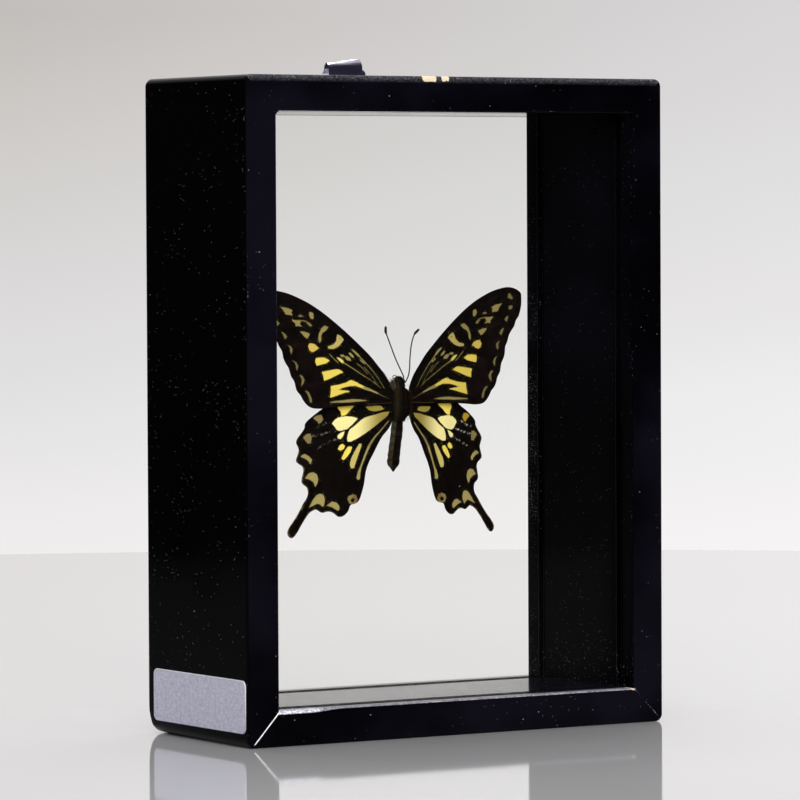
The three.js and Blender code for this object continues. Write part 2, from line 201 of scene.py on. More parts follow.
def as_object(name, points, faces, finishes, slot, sharp=None, smooth=True, face_slots=None, **painted):
    """A piece from points in millimetres, riding on the frame and standing for the solid of its name.

    Edges sharper than the angle stay sharp, and what is painted reaches the finish as attributes."""
    mesh = bpy.data.meshes.new(name)
    mesh.from_pydata((np.asarray(points, float) * MM).tolist(), [], [list(f) for f in faces])
    mesh.update()
    for finish in finishes:
        mesh.materials.append(finish)
    if face_slots is not None:
        mesh.polygons.foreach_set("material_index", face_slots)
    if smooth:
        mesh.shade_smooth()
    piece = bpy.data.objects.new(name, mesh)
    bpy.context.scene.collection.objects.link(piece)
    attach(piece, ROOT)
    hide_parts(name)
    for label, values in painted.items():
        paint(mesh, label, values)
    outward(mesh)
    if sharp is not None:
        mesh.set_sharp_from_angle(angle=math.radians(sharp))
    return piece


def smoothstep(x, low, high):
    """0 below low and 1 above high, with a soft change between."""
    share = np.clip((np.asarray(x, float) - low) / (high - low), 0, 1)
    return share * share * (3 - 2 * share)


def spline(points, per_span, closed=False):
    """Catmull-Rom curve through the points."""
    knots = np.asarray(points, float)
    count = len(knots)
    made = []
    for i in range(count if closed else count - 1):
        pick = [(i + k) % count if closed else min(max(i + k, 0), count - 1) for k in (-1, 0, 1, 2)]
        a, b, c, d = knots[pick]
        square, cube = 2 * a - 5 * b + 4 * c - d, 3 * b - a - 3 * c + d
        for t in np.arange(per_span) / per_span:
            made.append(0.5 * (2 * b + (c - a) * t + square * t**2 + cube * t**3))
    if not closed:
        made.append(knots[-1])
    return np.array(made)


def circle(sides):
    """Cosines and sines once round."""
    angles = math.tau * np.arange(sides) / sides
    return np.stack([np.cos(angles), np.sin(angles)], 1)


def spin(points, angle):
    """Points turned about the Y axis, from Z towards X."""
    c, s = math.cos(angle), math.sin(angle)
    x, y, z = np.asarray(points, float).T
    return np.stack([c * x + s * z, y, c * z - s * x], 1)


def ring_faces(rings, sides):
    """Faces between rings of points."""
    turns = [(s, (s + 1) % sides) for s in range(sides)]
    return [
        (low + s, low + t, low + sides + t, low + sides + s)
        for low in range(0, (rings - 1) * sides, sides)
        for s, t in turns
    ]


def bar_faces(rings, sides):
    """The same, with a flat face over each end."""
    last = (rings - 1) * sides
    return ring_faces(rings, sides) + [tuple(range(sides))[::-1], tuple(range(last, last + sides))]


def pointed(rings, start, end):
    """Points and faces of a stack of rings that closes in a point at each end."""
    count, sides = len(rings), len(rings[0])
    first = count * sides
    faces = ring_faces(count, sides)
    for s in range(sides):
        t = (s + 1) % sides
        faces += [(t, s, first), (first - sides + s, first - sides + t, first + 1)]
    return np.vstack([*rings, [start], [end]]), faces


def tube(path, radii, sides):
    """A round tube along a path, with one radius for each point of it."""
    path = np.asarray(path, float)
    rings = []
    side = None
    for i, centre in enumerate(path):
        along = path[min(i + 1, len(path) - 1)] - path[max(i - 1, 0)]
        along = along / np.linalg.norm(along)
        if side is None:
            side = np.cross(along, [0.0, 1.0, 0.2])
        side = side - along * (side @ along)
        side = side / np.linalg.norm(side)
        rings.append(centre + radii[i] * circle(sides) @ [side, np.cross(along, side)])
    return pointed(rings, path[0] - (path[1] - path[0]) * 0.02, path[-1] + (path[-1] - path[-2]) * 0.02)


def turned(profile, sides):
    """A profile (radius, along Y) turned about the Y axis; it starts and ends on the axis."""
    rings = [np.insert(radius * circle(sides), 1, y, axis=1) for radius, y in profile[1:-1]]
    return pointed(rings, (0, profile[0][1], 0), (0, profile[-1][1], 0))


def ball(centre, size, rings, sides):
    """An ellipsoid of the given half sizes."""
    centre, size = np.array(centre), np.array(size)
    polar = math.pi * np.arange(1, rings) / rings
    stack = [np.insert(math.sin(p) * circle(sides), 2, math.cos(p), axis=1) * size + centre for p in polar]
    return pointed(stack, centre + (0, 0, size[2]), centre - (0, 0, size[2]))


def join_parts(parts):
    """Several (points, faces) as one."""
    faces, start = [], 0
    for points, more in parts:
        faces += [tuple(i + start for i in f) for f in more]
        start += len(points)
    return np.vstack([points for points, _ in parts]), faces


# ---- Finishes ------------------------------------------------------------------------------
DUST = linear(205, 205, 214)
BARE_WOOD = linear(236, 224, 200)
MITRE_LINE = {"foot": 1.1, "slope": 0.92}  # runs up from the lower left corner, just off the joint
FRONT = -DEPTH / 2
INNER_FACE = WIDTH / 2 - RAIL  # of the right rail


def lacquer_dust(f, x, y, z, wall):
    """Grains that lie thickest low down, towards the back of the opening and along the edges."""
    low = f.times(f.ramp(z, 34.0, 10.0), f.ramp(x, -20.0, 40.0, 0.3, 1.0))
    near_back = f.times(f.ramp(y, 21.0, 25.0), wall, f.ramp(z, 160.0, 30.0, 0.12, 1.0))
    foot = f.times(wall, f.ramp(z, 24.0, 11.0))
    edge = f.attribute("edge")
    patchy = f.ramp(f.noise(14.0, 2.0), 0.36, 0.7, 0.1, 1.6)
    thick = f.plus(f.times(low, 0.11), f.times(near_back, 0.4), f.times(edge, 0.12), f.times(foot, 0.4))
    share = f.times(f.plus(thick, 0.03), patchy)
    grains = (
        # cell size, share of the cells with a grain, its radius, how strongly it shows
        (0.6, f.times(share, 0.7), 0.11, f.ramp(f.noise(1.4, 2.0), 0.35, 0.7, 0.2, 0.9)),
        (1.9, f.times(share, 0.9), 0.18, 0.75),
        (0.55, f.times(near_back, patchy, 0.6), 0.16, f.ramp(f.noise(0.8, 3.0), 0.35, 0.7, 0.1, 0.8)),
        (0.8, f.times(foot, patchy, 0.34), 0.21, f.ramp(f.noise(1.2, 2.0), 0.4, 0.6, 0.35, 1.0)),
    )
    return f.most(*(f.times(f.specks(size, part, radius), shown) for size, part, radius, shown in grains))


def mitre_lines(f, x, y, z):
    """The open mitre at the lower left corner shows its filler, the lower right one only a trace."""
    ragged = f.noise(0.8, 3.0)
    seam = f.plus(f.times(z, MITRE_LINE["slope"]), MITRE_LINE["foot"])
    across = f.plus(f.apart(f.plus(x, WIDTH / 2), seam), f.times(ragged, 0.22))
    filler = f.times(f.ramp(across, 0.44, 0.28), f.ramp(y, FRONT + 0.8, FRONT + 0.3))
    filler = f.times(filler, f.ramp(x, -50.0, -60.0), f.ramp(z, 0.9, 1.5), f.ramp(z, RAIL + 0.8, RAIL - 0.2))
    across = f.apart(f.math("SUBTRACT", WIDTH / 2, x), z)
    trace = f.times(f.ramp(across, 0.26, 0.08), f.ramp(ragged, 0.5, 0.62))
    return filler, f.times(trace, f.ramp(z, RAIL + 0.2, RAIL - 0.8), f.ramp(x, 50.0, 60.0))


def lacquer():
    """Black lacquer with a bluish cast, painted shade on its left face and inner right wall, pale dust,
    scuffed edges partly brightened as painted highlight, bare wood in the chips.
    """
    f = Finish("black_lacquer", IOR=1.2, Specular_IOR_Level=0.2)
    x, y, z = f.axes(f.place)
    inwards = f.math("SUBTRACT", INNER_FACE, x)
    wall = f.times(f.ramp(inwards, 2.2, 0.2), f.ramp(inwards, -1.8, -0.3))  # 1 on the inner right wall
    wall = f.times(wall, f.ramp(y, FRONT + 0.2, FRONT + 0.8), f.ramp(z, RAIL - 0.3, RAIL + 0.2))
    # bluish clouds, with painted shade on the left side face and low down on the inner right wall
    black = f.mix(f.ramp(f.noise(45.0, 3.0), 0.35, 0.7), linear(2, 2, 4), linear(13, 12, 20))
    black = f.mix(f.ramp(x, 0.5 - WIDTH / 2, 0.1 - WIDTH / 2), black, linear(2, 2, 3))
    black = f.mix(f.times(wall, f.ramp(z, 140.0, 80.0)), black, linear(1, 1, 2))
    dust = lacquer_dust(f, x, y, z, wall)
    filler, trace = mitre_lines(f, x, y, z)
    # the lip's powder and the bare wood both break up along the same grit
    grit = f.noise(0.32, 4.0, roughness=0.75)
    # rubbed powder on the edges; along the sill's upward lip and the top rail's outer front edge it is also
    # a painted highlight
    worn = f.attribute("worn")
    rubbed = f.times(worn, f.ramp(f.plus(grit, f.times(worn, 0.3)), 0.42, 0.70))
    chipped = f.ramp(f.plus(f.attribute("bare"), f.times(grit, 0.5)), 0.62, 0.78)
    lumps = f.ramp(f.noise(0.7, 4.0, roughness=0.7), 0.42, 0.62)
    powder = f.mix(lumps, linear(158, 157, 178), linear(250, 250, 255))
    wood = f.mix(f.noise(0.5, 4.0, where=f.stretched((0.25, 1.0, 1.6))), BARE_WOOD, linear(200, 176, 140))
    colour = f.mix(f.times(trace, 0.3), f.mix(dust, black, DUST), DUST)
    colour = f.mix(filler, f.mix(rubbed, colour, powder), linear(240, 239, 244))
    smear = f.most(f.ramp(f.noise(28.0, 3.0), 0.3, 0.75, 0.07, 0.14), f.times(wall, 0.3))
    matt = f.times(f.most(dust, rubbed, filler, chipped), 0.85)
    f.set(Base_Color=f.mix(chipped, colour, wood), Roughness=f.most(smear, matt))
    skin = f.bump(f.noise(2.6, 2.0), 0.006)
    f.set(Normal=f.bump(f.most(dust, f.times(rubbed, grit)), 0.06, Normal=skin))
    return f.material


def glass(name, tint, dusty=0.05, roughness=0.0):
    """Clear glass that lets soft light through to what stands behind it, with a few grains on it."""
    f = Finish(name, Base_Color=tint, Roughness=roughness, IOR=1.12, Transmission_Weight=1.0)
    path = f.node("ShaderNodeLightPath").outputs
    unseen = f.most(path["Is Shadow Ray"], path["Is Diffuse Ray"])
    clear = f.node("ShaderNodeBsdfTransparent", {"Color": tint}).outputs[0]
    veil = f.times(f.specks(2.8, dusty, 0.16), f.ramp(f.noise(22.0), 0.4, 0.65), 0.5)
    grain = f.node("ShaderNodeBsdfDiffuse", {"Color": DUST}).outputs[0]
    pane = f.node("ShaderNodeMixShader", {0: unseen, 1: f.surface.outputs[0], 2: clear}).outputs[0]
    dusted = f.node("ShaderNodeMixShader", {0: veil, 1: pane, 2: grain}).outputs[0]
    f.put(f.tree.nodes["Material Output"].inputs["Surface"], dusted)
    return f.material


def foil():
    """Satin silver foil with a lavender cast, finely brushed along its length, with a painted highlight
    along its upper rim and painted shade along its lower rim.
    """
    f = Finish("plate_foil", Metallic=0.2)
    brushed = f.noise(0.5, 3.0, where=f.stretched((1.0, 0.12, 2.2)))
    mottled = f.noise(1.3, 4.0, roughness=0.7)
    colour = f.mix(f.ramp(brushed, 0.3, 0.7), linear(206, 205, 224), linear(226, 225, 241))
    colour = f.mix(f.ramp(mottled, 0.35, 0.72, 0.0, 0.75), colour, linear(176, 175, 197))
    colour = f.mix(f.specks(2.6, 0.16, 0.2), colour, linear(240, 240, 246))
    # painted shade on the lower rim, then a painted highlight on the upper rim
    colour = f.mix(f.attribute("shade"), colour, linear(118, 117, 134))
    f.set(Base_Color=f.mix(f.attribute("edge"), colour, linear(246, 246, 252)))
    f.set(Roughness=f.ramp(mottled, 0.3, 0.7, 0.42, 0.56), Normal=f.bump(brushed, 0.02, 0.5))
    return f.material


def steel(name, low, high, roughness):
    """Bare sheet or screw steel with drawn streaks and dull spots, dark where its shade is painted."""
    f = Finish(name)
    shade = f.attribute("shade")
    streaks = f.noise(0.4, 3.0, where=f.stretched((0.2, 1.4, 1.4)))
    spots = f.ramp(f.noise(1.1, 4.0, roughness=0.7), 0.60, 0.74)
    colour = f.mix(f.times(spots, 0.5), f.mix(streaks, low, high), linear(118, 116, 124))
    f.set(Base_Color=f.mix(shade, colour, linear(34, 32, 47)), Metallic=f.math("SUBTRACT", 1.0, shade))
    f.set(Roughness=f.plus(f.times(f.plus(spots, shade), 0.2), roughness))
    f.set(Normal=f.bump(streaks, 0.006, 0.5))
    return f.material


def wing_scales():
    """Wing membrane under rows of scales: dark ground, pale marks with ragged edges, dark veins."""
    f = Finish("wing_scales", IOR=1.35, Specular_IOR_Level=0.04)
    mark, tint = f.attribute("mark"), f.attribute("tint", "Color")
    ragged = f.noise(0.42, 3.0, roughness=0.65)
    rows = f.noise(0.16, 2.0)
    marked = f.ramp(f.plus(mark, f.times(f.math("SUBTRACT", ragged, 0.5), 0.42)), -0.16, 0.06)
    sprinkle = f.specks(0.26, f.ramp(mark, -1.3, 0.1, 0.0, 0.34), 0.10)
    ground = f.mix(f.ramp(f.noise(3.4, 3.0), 0.35, 0.7), f.attribute("ground", "Color"), linear(8, 6, 5))
    ground = f.mix(f.ramp(rows, 0.45, 0.8, 0.0, 0.08), ground, linear(44, 28, 20))
    pale = f.mix(f.ramp(rows, 0.3, 0.75, 0.0, 0.3), tint, f.mix(0.5, tint, linear(120, 96, 44)))
    colour = f.mix(marked, f.mix(f.times(sprinkle, 0.5), ground, tint), pale)
    vein = f.ramp(f.plus(f.attribute("vein"), f.times(ragged, 0.1)), 0.30, 0.10, 0.0, 0.9)
    colour = f.mix(f.times(vein, f.ramp(marked, 0.2, 1.0, 1.0, 0.12)), colour, linear(14, 10, 9))
    rubbed = f.times(f.attribute("rubbed"), f.ramp(f.noise(0.9, 3.0), 0.46, 0.56))
    colour = f.mix(rubbed, colour, linear(214, 206, 190))
    fringe = f.times(f.attribute("fringe"), f.ramp(f.noise(1.1, 3.0), 0.4, 0.6))
    f.set(Base_Color=f.mix(fringe, colour, linear(176, 160, 112)))
    f.set(Roughness=f.ramp(rows, 0.3, 0.8, 0.52, 0.72))
    f.set(Normal=f.bump(f.plus(rows, f.times(ragged, 0.5)), 0.03, 0.8))
    return f.material


def fur():
    """Hair and scales of the body, coloured by its own stripes."""
    f = Finish("body_fur", Roughness=0.75, Specular_IOR_Level=0.15)
    flecks = f.noise(0.45, 4.0, roughness=0.65)
    colour = f.mix(f.ramp(flecks, 0.42, 0.62, 0.0, 0.7), f.attribute("tint", "Color"), linear(9, 7, 7))
    f.set(Base_Color=f.mix(f.ramp(f.noise(1.3, 3.0), 0.54, 0.68, 0.0, 0.22), colour, linear(70, 46, 30)))
    f.set(Normal=f.bump(f.noise(0.22, 3.0), 0.05))
    return f.material


def chitin(name, low, high, roughness=0.35):
    """Hard horn: eyes, feelers, tongue and legs."""
    f = Finish(name, IOR=1.5)
    grain = f.noise(0.3, 3.0)
    f.set(Base_Color=f.mix(f.ramp(grain, 0.35, 0.7), low, high))
    f.set(Roughness=f.ramp(grain, 0.3, 0.7, roughness, roughness + 0.2), Normal=f.bump(grain, 0.02, 0.6))
    return f.material


# ---- Frame ---------------------------------------------------------------------------------
# Spots along an edge: where they start and end, how deep they cut, and the soft share at each end.
CHIP = {"from": 7.6, "to": 13.4, "size": 0.36, "soft": 0.15}  # bare wood on the top rail's front edge
CHIP_TAIL = {"from": 2.8, "to": 6.6, "size": 0.26, "soft": 0.3}
SILL_WEAR = {"from": -90.0, "to": -49.0, "size": 0.62, "soft": 0.34}  # rubbed lip of the bottom rail
CORNER_CHIP = {"from": 73.4, "to": 75.4, "size": 0.3, "soft": 0.3}  # at the sill's right end
SILL_RUB_AND_HIGHLIGHT, TOP_EDGE_HIGHLIGHT = 0.52, 0.18  # how much is brightened along the rest of those edges: rubbed finish on the sill's lip that is also painted highlight where it faces up, and painted highlight on the top rail's outer front edge
CORNER_POINTS = 6  # along each rounded long edge
EDGE_GUARD = 2.2  # from a long edge to the flat of the face
BACK_RADIUS = 0.25  # crisper edges at the back
MITRE_SEAM = 0.03
BEAD, TOP_BEAD = 0.18, 0.02  # lacquer standing proud along the grooves of a rail
BEAD_WIDTH = 0.35
CORNER_FILL = 1.15  # filler across the opening's top left corner
# The back corners on the left are knocked round: (corner, how far the knock reaches, its depth).
KNOCKS = (((-75, 30, 0), 8.0, 1.9), ((-75, 30, 200), 2.0, 0.25))


def bump_between(x, spot):
    """0 outside the spot, rising quickly to 1 inside it."""
    ramp_length = spot["soft"] * (spot["to"] - spot["from"])
    rise = smoothstep(x, spot["from"], spot["from"] + ramp_length)
    return rise * (1 - smoothstep(x, spot["to"] - ramp_length, spot["to"]))


def cut_back(x, spots, uneven, seed):
    """How deep the spots cut at x, with a repeatable uneven profile."""
    waves = ((0.5, 2.3), (0.3, 5.1), (0.2, 11.7))
    rough = sum(size * np.sin(rate * x + k * seed) for k, (size, rate) in enumerate(waves, 1))
    return max([bump_between(x, s) * s["size"] * (1 + uneven * rough) for s in spots] or [0])


def rail_section(outer_radius, inner_radius, bead):
    """(inwards, back, nearness to a long edge) round a rail, starting on its outer face at the front."""
    face, guard = DEPTH / 2, EDGE_GUARD
    section = []

    def straight(*places):
        section.extend((t, y, 0.0) for t, y in places)

    def rounded(t, y, radius, start):
        ends = (start, start + math.pi / 2)
        t -= radius * sum(math.cos(a) for a in ends)
        y -= radius * sum(math.sin(a) for a in ends)
        for angle in np.linspace(*ends, CORNER_POINTS + 1):
            section.append((t + radius * math.cos(angle), y + radius * math.sin(angle), 1.0))

    straight((0.0, guard - face))
    rounded(0.0, -face, outer_radius, math.pi)
    straight((guard, -face), (RAIL - guard, -face))
    rounded(RAIL, -face, inner_radius, -math.pi / 2)
    straight((RAIL, guard - face))
    for mid in (-PANE_MID, PANE_MID):
        for side in (-1, 1):
            wall = mid + side * (PANE / 2 + CLEARANCE)
            lip = [(0, 2), (bead, 1), (bead, 0), (-GROOVE_DEPTH, 0)]
            straight(*((RAIL + up, wall + side * BEAD_WIDTH * k) for up, k in lip[::-side]))
    straight((RAIL, face - guard))
    rounded(RAIL, face, BACK_RADIUS, 0.0)
    straight((RAIL - guard, face), (guard, face))
    rounded(0.0, face, BACK_RADIUS, math.pi / 2)
    straight((0.0, face - guard))
    return section


def stations(reach, spots):
    """Places along a rail: close together at its ends and at chips, wide apart elsewhere."""
    stretches = [np.linspace(-reach, reach, 41)]
    stretches += [np.linspace(reach - 7, reach, 15), np.linspace(-reach, 7 - reach, 15)]
    stretches += [np.arange(spot["from"] - 0.5, spot["to"] + 0.5, 0.25) for spot in spots]
    places = set(np.round(np.concatenate(stretches), 3)) | {-reach + CORNER_FILL, reach - CORNER_FILL}
    return np.array(sorted(p for p in places if abs(p) <= reach))


def rounded_corner(x, t, reach):
    """The frame's own corner: pulls in what lies outside its radius."""
    a, b = CORNER_RADIUS - (reach - abs(x)), CORNER_RADIUS - t
    if a <= 0 or b <= 0:
        return x, t
    shrink = max(a, b) / math.hypot(a, b)
    return math.copysign(reach - CORNER_RADIUS + a * shrink, x), CORNER_RADIUS - b * shrink


def rail_piece(name, length, turn, shift, finish, outer_spots=(), inner_spots=(), lip_rub_and_highlight=0.0, outer_edge_highlight=0.0,
               bead=BEAD, fill_end=0):
    """One mitred rail. Spots are chips or wear along its outer and inner front edges; the lip's light wear
    is also a painted highlight where it faces up, and the outer front edge can carry a painted highlight.
    """
    reach = length / 2
    points, edge, worn, bare = [], [], [], []
    places = stations(reach, [*outer_spots, *inner_spots])
    for place in places:
        outer = cut_back(place, outer_spots, 0.35, 1.0)
        inner = cut_back(place, inner_spots, 0.1, 2.0)
        chipped = bump_between(place, CORNER_CHIP) if lip_rub_and_highlight else 0.0
        for k, (t, y, near) in enumerate(rail_section(EDGE_RADIUS + outer, EDGE_RADIUS + inner, bead)):
            if t > RAIL - 0.4 and place * fill_end > 0:
                t += max(0.0, 0.5 * (CORNER_FILL - (reach - RAIL) * (1 - abs(place) / reach)))
            x, t = rounded_corner(place / reach * (reach - t - MITRE_SEAM), t, reach)
            points.append((x, y, t))
            edge.append(near)
            # places along the section: the outer front edge, the inner one, and what of it faces up
            front_outer = 0 < k <= CORNER_POINTS + 1
            front_inner = CORNER_POINTS + 4 < k <= 2 * CORNER_POINTS + 5
            upper = 2 * CORNER_POINTS <= k < 2 * CORNER_POINTS + 6
            bare.append(min(1.0, outer * 3.4) if front_outer else chipped if front_inner else 0.0)
            # wear on the inner front edge, with a painted highlight on what faces up; the outer front edge
            # takes a painted highlight
            lip = max(min(1.0, inner * 1.8) if front_inner else 0.0, lip_rub_and_highlight if upper else 0.0)
            worn.append(max(lip, outer_edge_highlight if front_outer else 0.0))
    spun = spin(points, turn) + np.array([shift[0], 0.0, shift[1]])
    for corner, knock_reach, depth in KNOCKS:
        gap = np.linalg.norm(spun - np.array(corner), axis=1)
        inward = np.array([1.0, -1.0, 1.0 if corner[2] == 0 else -1.0]) / math.sqrt(3)
        spun += inward * (depth * np.clip(1 - gap / knock_reach, 0, 1) ** 1.5)[:, None]
    faces = bar_faces(len(places), len(points) // len(places))
    as_object(name, spun, faces, [finish], "lacquered_wood", 25, edge=edge, worn=worn, bare=bare)


def build_frame(finish):
    """Four rails, each made lying along X and then turned into its place."""
    rail_piece("rail_bottom", WIDTH, 0.0, (0, 0), finish, inner_spots=[SILL_WEAR], lip_rub_and_highlight=SILL_RUB_AND_HIGHLIGHT)
    # the top rail is turned over, so its spots run from right to left
    rail_piece("rail_top", WIDTH, math.pi, (0, HEIGHT), finish, outer_spots=[CHIP, CHIP_TAIL],
               outer_edge_highlight=TOP_EDGE_HIGHLIGHT, bead=TOP_BEAD, fill_end=1)
    rail_piece("rail_left", HEIGHT, math.pi / 2, (-WIDTH / 2, HEIGHT / 2), finish, fill_end=-1)
    rail_piece("rail_right", HEIGHT, -math.pi / 2, (WIDTH / 2, HEIGHT / 2), finish)


# ---- Plate on the left-hand side -----------------------------------------------------------
LABEL = {"length": 55.1, "height": 15.9, "thickness": 0.3, "radius": 2.0, "mid_y": -1.25, "mid_z": 12.25}
LABEL_SOFT = 0.1  # how far its edge is rounded


def rounded_rectangle(length, height, radius, per_corner=10):
    """Points round a rectangle about the origin, from its right-hand upper corner."""
    loop = []
    for sx, sy, start in ((1, 1, 0), (-1, 1, 90), (-1, -1, 180), (1, -1, 270)):
        centre = (sx * (length / 2 - radius), sy * (height / 2 - radius))
        for angle in np.radians(np.linspace(start, start + 90, per_corner + 1)):
            loop.append((centre[0] + radius * math.cos(angle), centre[1] + radius * math.sin(angle)))
    return loop


def build_plate(finish):
    """A thin sheet with softened edges, stuck to the side face."""
    soft, thick = LABEL_SOFT, LABEL["thickness"]
    # each layer is (out from the frame, inset, nearness to the rim)
    layers = ((0.0, 0.0, 1.0), (thick - soft, 0.0, 1.0), (thick, soft, 0.9), (thick, soft + 0.12, 0.0))
    points, edge, shade = [], [], []
    for out, inset, rim in layers:
        length, height = LABEL["length"] - 2 * inset, LABEL["height"] - 2 * inset
        loop = rounded_rectangle(length, height, LABEL["radius"] - inset)
        points += [(-WIDTH / 2 - GLUE_LINE - out, LABEL["mid_y"] - u, LABEL["mid_z"] + v) for u, v in loop]
        # painted highlight along the upper rim (edge) and painted shade along the lower rim (shade)
        lit = smoothstep([v for _, v in loop], 2.0, LABEL["height"] / 2)
        edge += list(rim * (0.1 + 0.9 * lit))
        shade += list(rim * 0.7 * (1 - lit))
    faces = bar_faces(len(layers), len(points) // len(layers))
    as_object("label_plate", points, faces, [finish], "plate_foil", 60, edge=edge, shade=shade)


# ---- Hanger --------------------------------------------------------------------------------
STRIP = {"left": -8.7, "right": 3.5, "thickness": 0.5, "turn": 2.4, "flare": 0.045, "soft": 0.12}
# Its line from the foot up and over, as (back from where it starts, up).
STRIP_ROUTE = [
    (0, 191.5), (0, 197.0), (0, 202.4), (0, 204.5), (0.2, 204.95), (0.9, 205.75), (1.5, 206.05),
    (2.0, 205.6), (2.4, 204.9), (2.7, 204.2), (3.2, 203.3), (3.8, 202.7),
]
STRIP_COLUMNS = 9
STRIP_FRONT = 1.2  # how far back the side that faces forwards reaches
BRIGHT_FROM, HOLLOW_FROM = (205.1, 205.5), 204.3  # heights where the front's painted shade gives way to bright steel, and above which the fold's inside is painted shade
DENTED_FROM, FLARED_FROM = 203, (203.0, 205.5)  # heights where it is dented and widens
DISC = {"radius": 1.6, "soft": 0.03, "left_of_edge": 0.5, "z": 201.9}
SCREW_Z, SCREW_SPACING = 194.6, 6.4
SCREW_HEAD = {"radius": 2.0, "rim": 0.5, "dome": 0.62}
SHANK = [(0, -6.0), (0.35, -5.4), (0.75, -4.4), (0.75, 0.02)]
RECESS = ((0.5, 0.55, 0.10), (1.5, 1.05, 0.20))  # depth, half length and half width of a slot, foot to top


def build_strip(finish):
    """Sheet strip screwed to the back of the top rail, its top folded over to the rear."""
    half, left, width = STRIP["thickness"] / 2, STRIP["left"], STRIP["right"] - STRIP["left"]
    seat = DEPTH / 2 + GLUE_LINE
    line = spline(np.array(STRIP_ROUTE) + (seat + half, 0), 5)
    across = np.linspace(0, 1, STRIP_COLUMNS)
    ring = [(share, side) for side in (1, -1) for share in across[::side]]
    points, shade = [], []
    for i, centre in enumerate(line):
        along = line[min(i + 1, len(line) - 1)] - line[max(i - 1, 0)]
        normal = np.array([-along[1], along[0]]) / np.linalg.norm(along)
        for share, side in ring:
            lift = side * (half - (STRIP["soft"] if share in (0.0, 1.0) else 0.0))
            dent = 0.10 * math.sin(4.2 * share + 0.35 * i) * (1 if centre[1] > DENTED_FROM else 0.2)
            y, z = centre + normal * (lift + dent)
            rise = STRIP["flare"] * share * width * smoothstep(z, *FLARED_FROM)
            points.append((left + share * width, y, z + rise))
            # painted shade: dark and dull on the front below the bright fold, and in the upper part of the
            # fold's inside
            front = side > 0 and centre[0] < seat + half + STRIP_FRONT
            hollow = side < 0 and centre[1] > HOLLOW_FROM
            shade.append(1 - smoothstep(centre[1], *BRIGHT_FROM) if front else 1.0 if hollow else 0.0)
    r, soft, thick = DISC["radius"], DISC["soft"], STRIP["thickness"]
    profile = [(0, 0), (r - soft, 0), (r, soft), (r, thick - soft), (r - soft, thick), (0, thick)]
    disc, disc_faces = turned(profile, 32)
    disc += np.array([STRIP["right"] - DISC["left_of_edge"], seat, DISC["z"]])
    # the disc is painted shade too, which hides its highlight
    shade += [1.0] * len(disc)
    points, faces = join_parts([(points, bar_faces(len(line), len(ring))), (disc, disc_faces)])
    pivot = np.array([left + width / 2, 0, SCREW_Z])
    points = pivot + spin(points - pivot, -math.radians(STRIP["turn"]))
    as_object("hanger_strip", points, faces, [finish], "hanger_steel", 50, shade=shade)


def build_screws(finish):
    """Pan-head screws with a cross recess."""
    radius, rim, dome = SCREW_HEAD["radius"], SCREW_HEAD["rim"], SCREW_HEAD["dome"]
    profile = SHANK + [(radius - 0.1, 0.02), (radius, 0.16), (radius - 0.04, rim)]
    profile += [(radius * math.cos(a) * 0.97, rim + dome * math.sin(a)) for a in np.linspace(0.25, 1.35, 6)]
    profile += [(0, 1.13)]
    for side, name in ((-1, "hanger_screw_left"), (1, "hanger_screw_right")):
        mid = (STRIP["left"] + STRIP["right"] + side * SCREW_SPACING) / 2
        seat = np.array([mid, DEPTH / 2 + GLUE_LINE + STRIP["thickness"], SCREW_Z])
        points, faces = turned(profile, 40)
        piece = as_object(name, points + seat, faces, [finish], "screw_steel")
        for turn in (0.5 + side, 0.5 + side + math.pi / 2):
            slot = [
                (a * long, depth, b * wide)
                for depth, long, wide in RECESS
                for a, b in ((-1, -1), (1, -1), (1, 1), (-1, 1))
            ]
            carve(piece, spin(slot, -turn) + seat, bar_faces(2, 4))
        piece.data.set_sharp_from_angle(angle=math.radians(35))


def carve(piece, points, faces):
    """Cuts a closed block out of a piece."""
    mesh = bpy.data.meshes.new("cutter")
    mesh.from_pydata((points * MM).tolist(), [], faces)
    outward(mesh)
    cutter = bpy.data.objects.new("cutter", mesh)
    bpy.context.scene.collection.objects.link(cutter)
    cut = piece.modifiers.new("cut", "BOOLEAN")
    cut.object = cutter
    cut.operation = "DIFFERENCE"
    cut.solver = "EXACT"
    bpy.context.view_layer.update()
    carved = bpy.data.meshes.new_from_object(piece.evaluated_get(bpy.context.evaluated_depsgraph_get()))
    piece.modifiers.clear()
    piece.data = carved
    bpy.data.objects.remove(cutter)


# ---- Wings ---------------------------------------------------------------------------------
NET_SPACING = 0.5  # between the corners of a wing's triangles
# Outlines, marks and veins of the right-hand wings, as (out, up) from the specimen's middle.
FOREWING = [
    (2.95, 3.3), (4.9, 7.45), (7.6, 10.9), (10.1, 13.9), (13.2, 16.9), (16.1, 19.55), (19.2, 22.25),
    (22.6, 25), (26.1, 27.6), (29.9, 30), (33.2, 31.65), (36.7, 33.1), (40.2, 34.05), (43.2, 34.45),
    (45.5, 34.1), (47.3, 33.3), (48.15, 32.4), (48.2, 31.1), (48, 28.9), (47.4, 26.9), (46.7, 25.3),
    (45.5, 23.9), (44.8, 22.3), (43.6, 20.9), (42.5, 19.4), (41.75, 17.5), (40.75, 15.8), (40.45, 13.9),
    (39.85, 12.3), (38.9, 10.8), (38.45, 9.3), (38.1, 8), (37.05, 6.4), (36.5, 4.4), (35.8, 3.2),
    (34.8, 2.2), (34.1, 0.9), (32.8, -0.7), (31.4, -1.6), (29.6, -1.95), (27.3, -1.95), (24.9, -1.7),
    (20, -1.35), (14, -1.3), (8, -1.2), (3.6, -0.9), (2.95, 0.5),
]
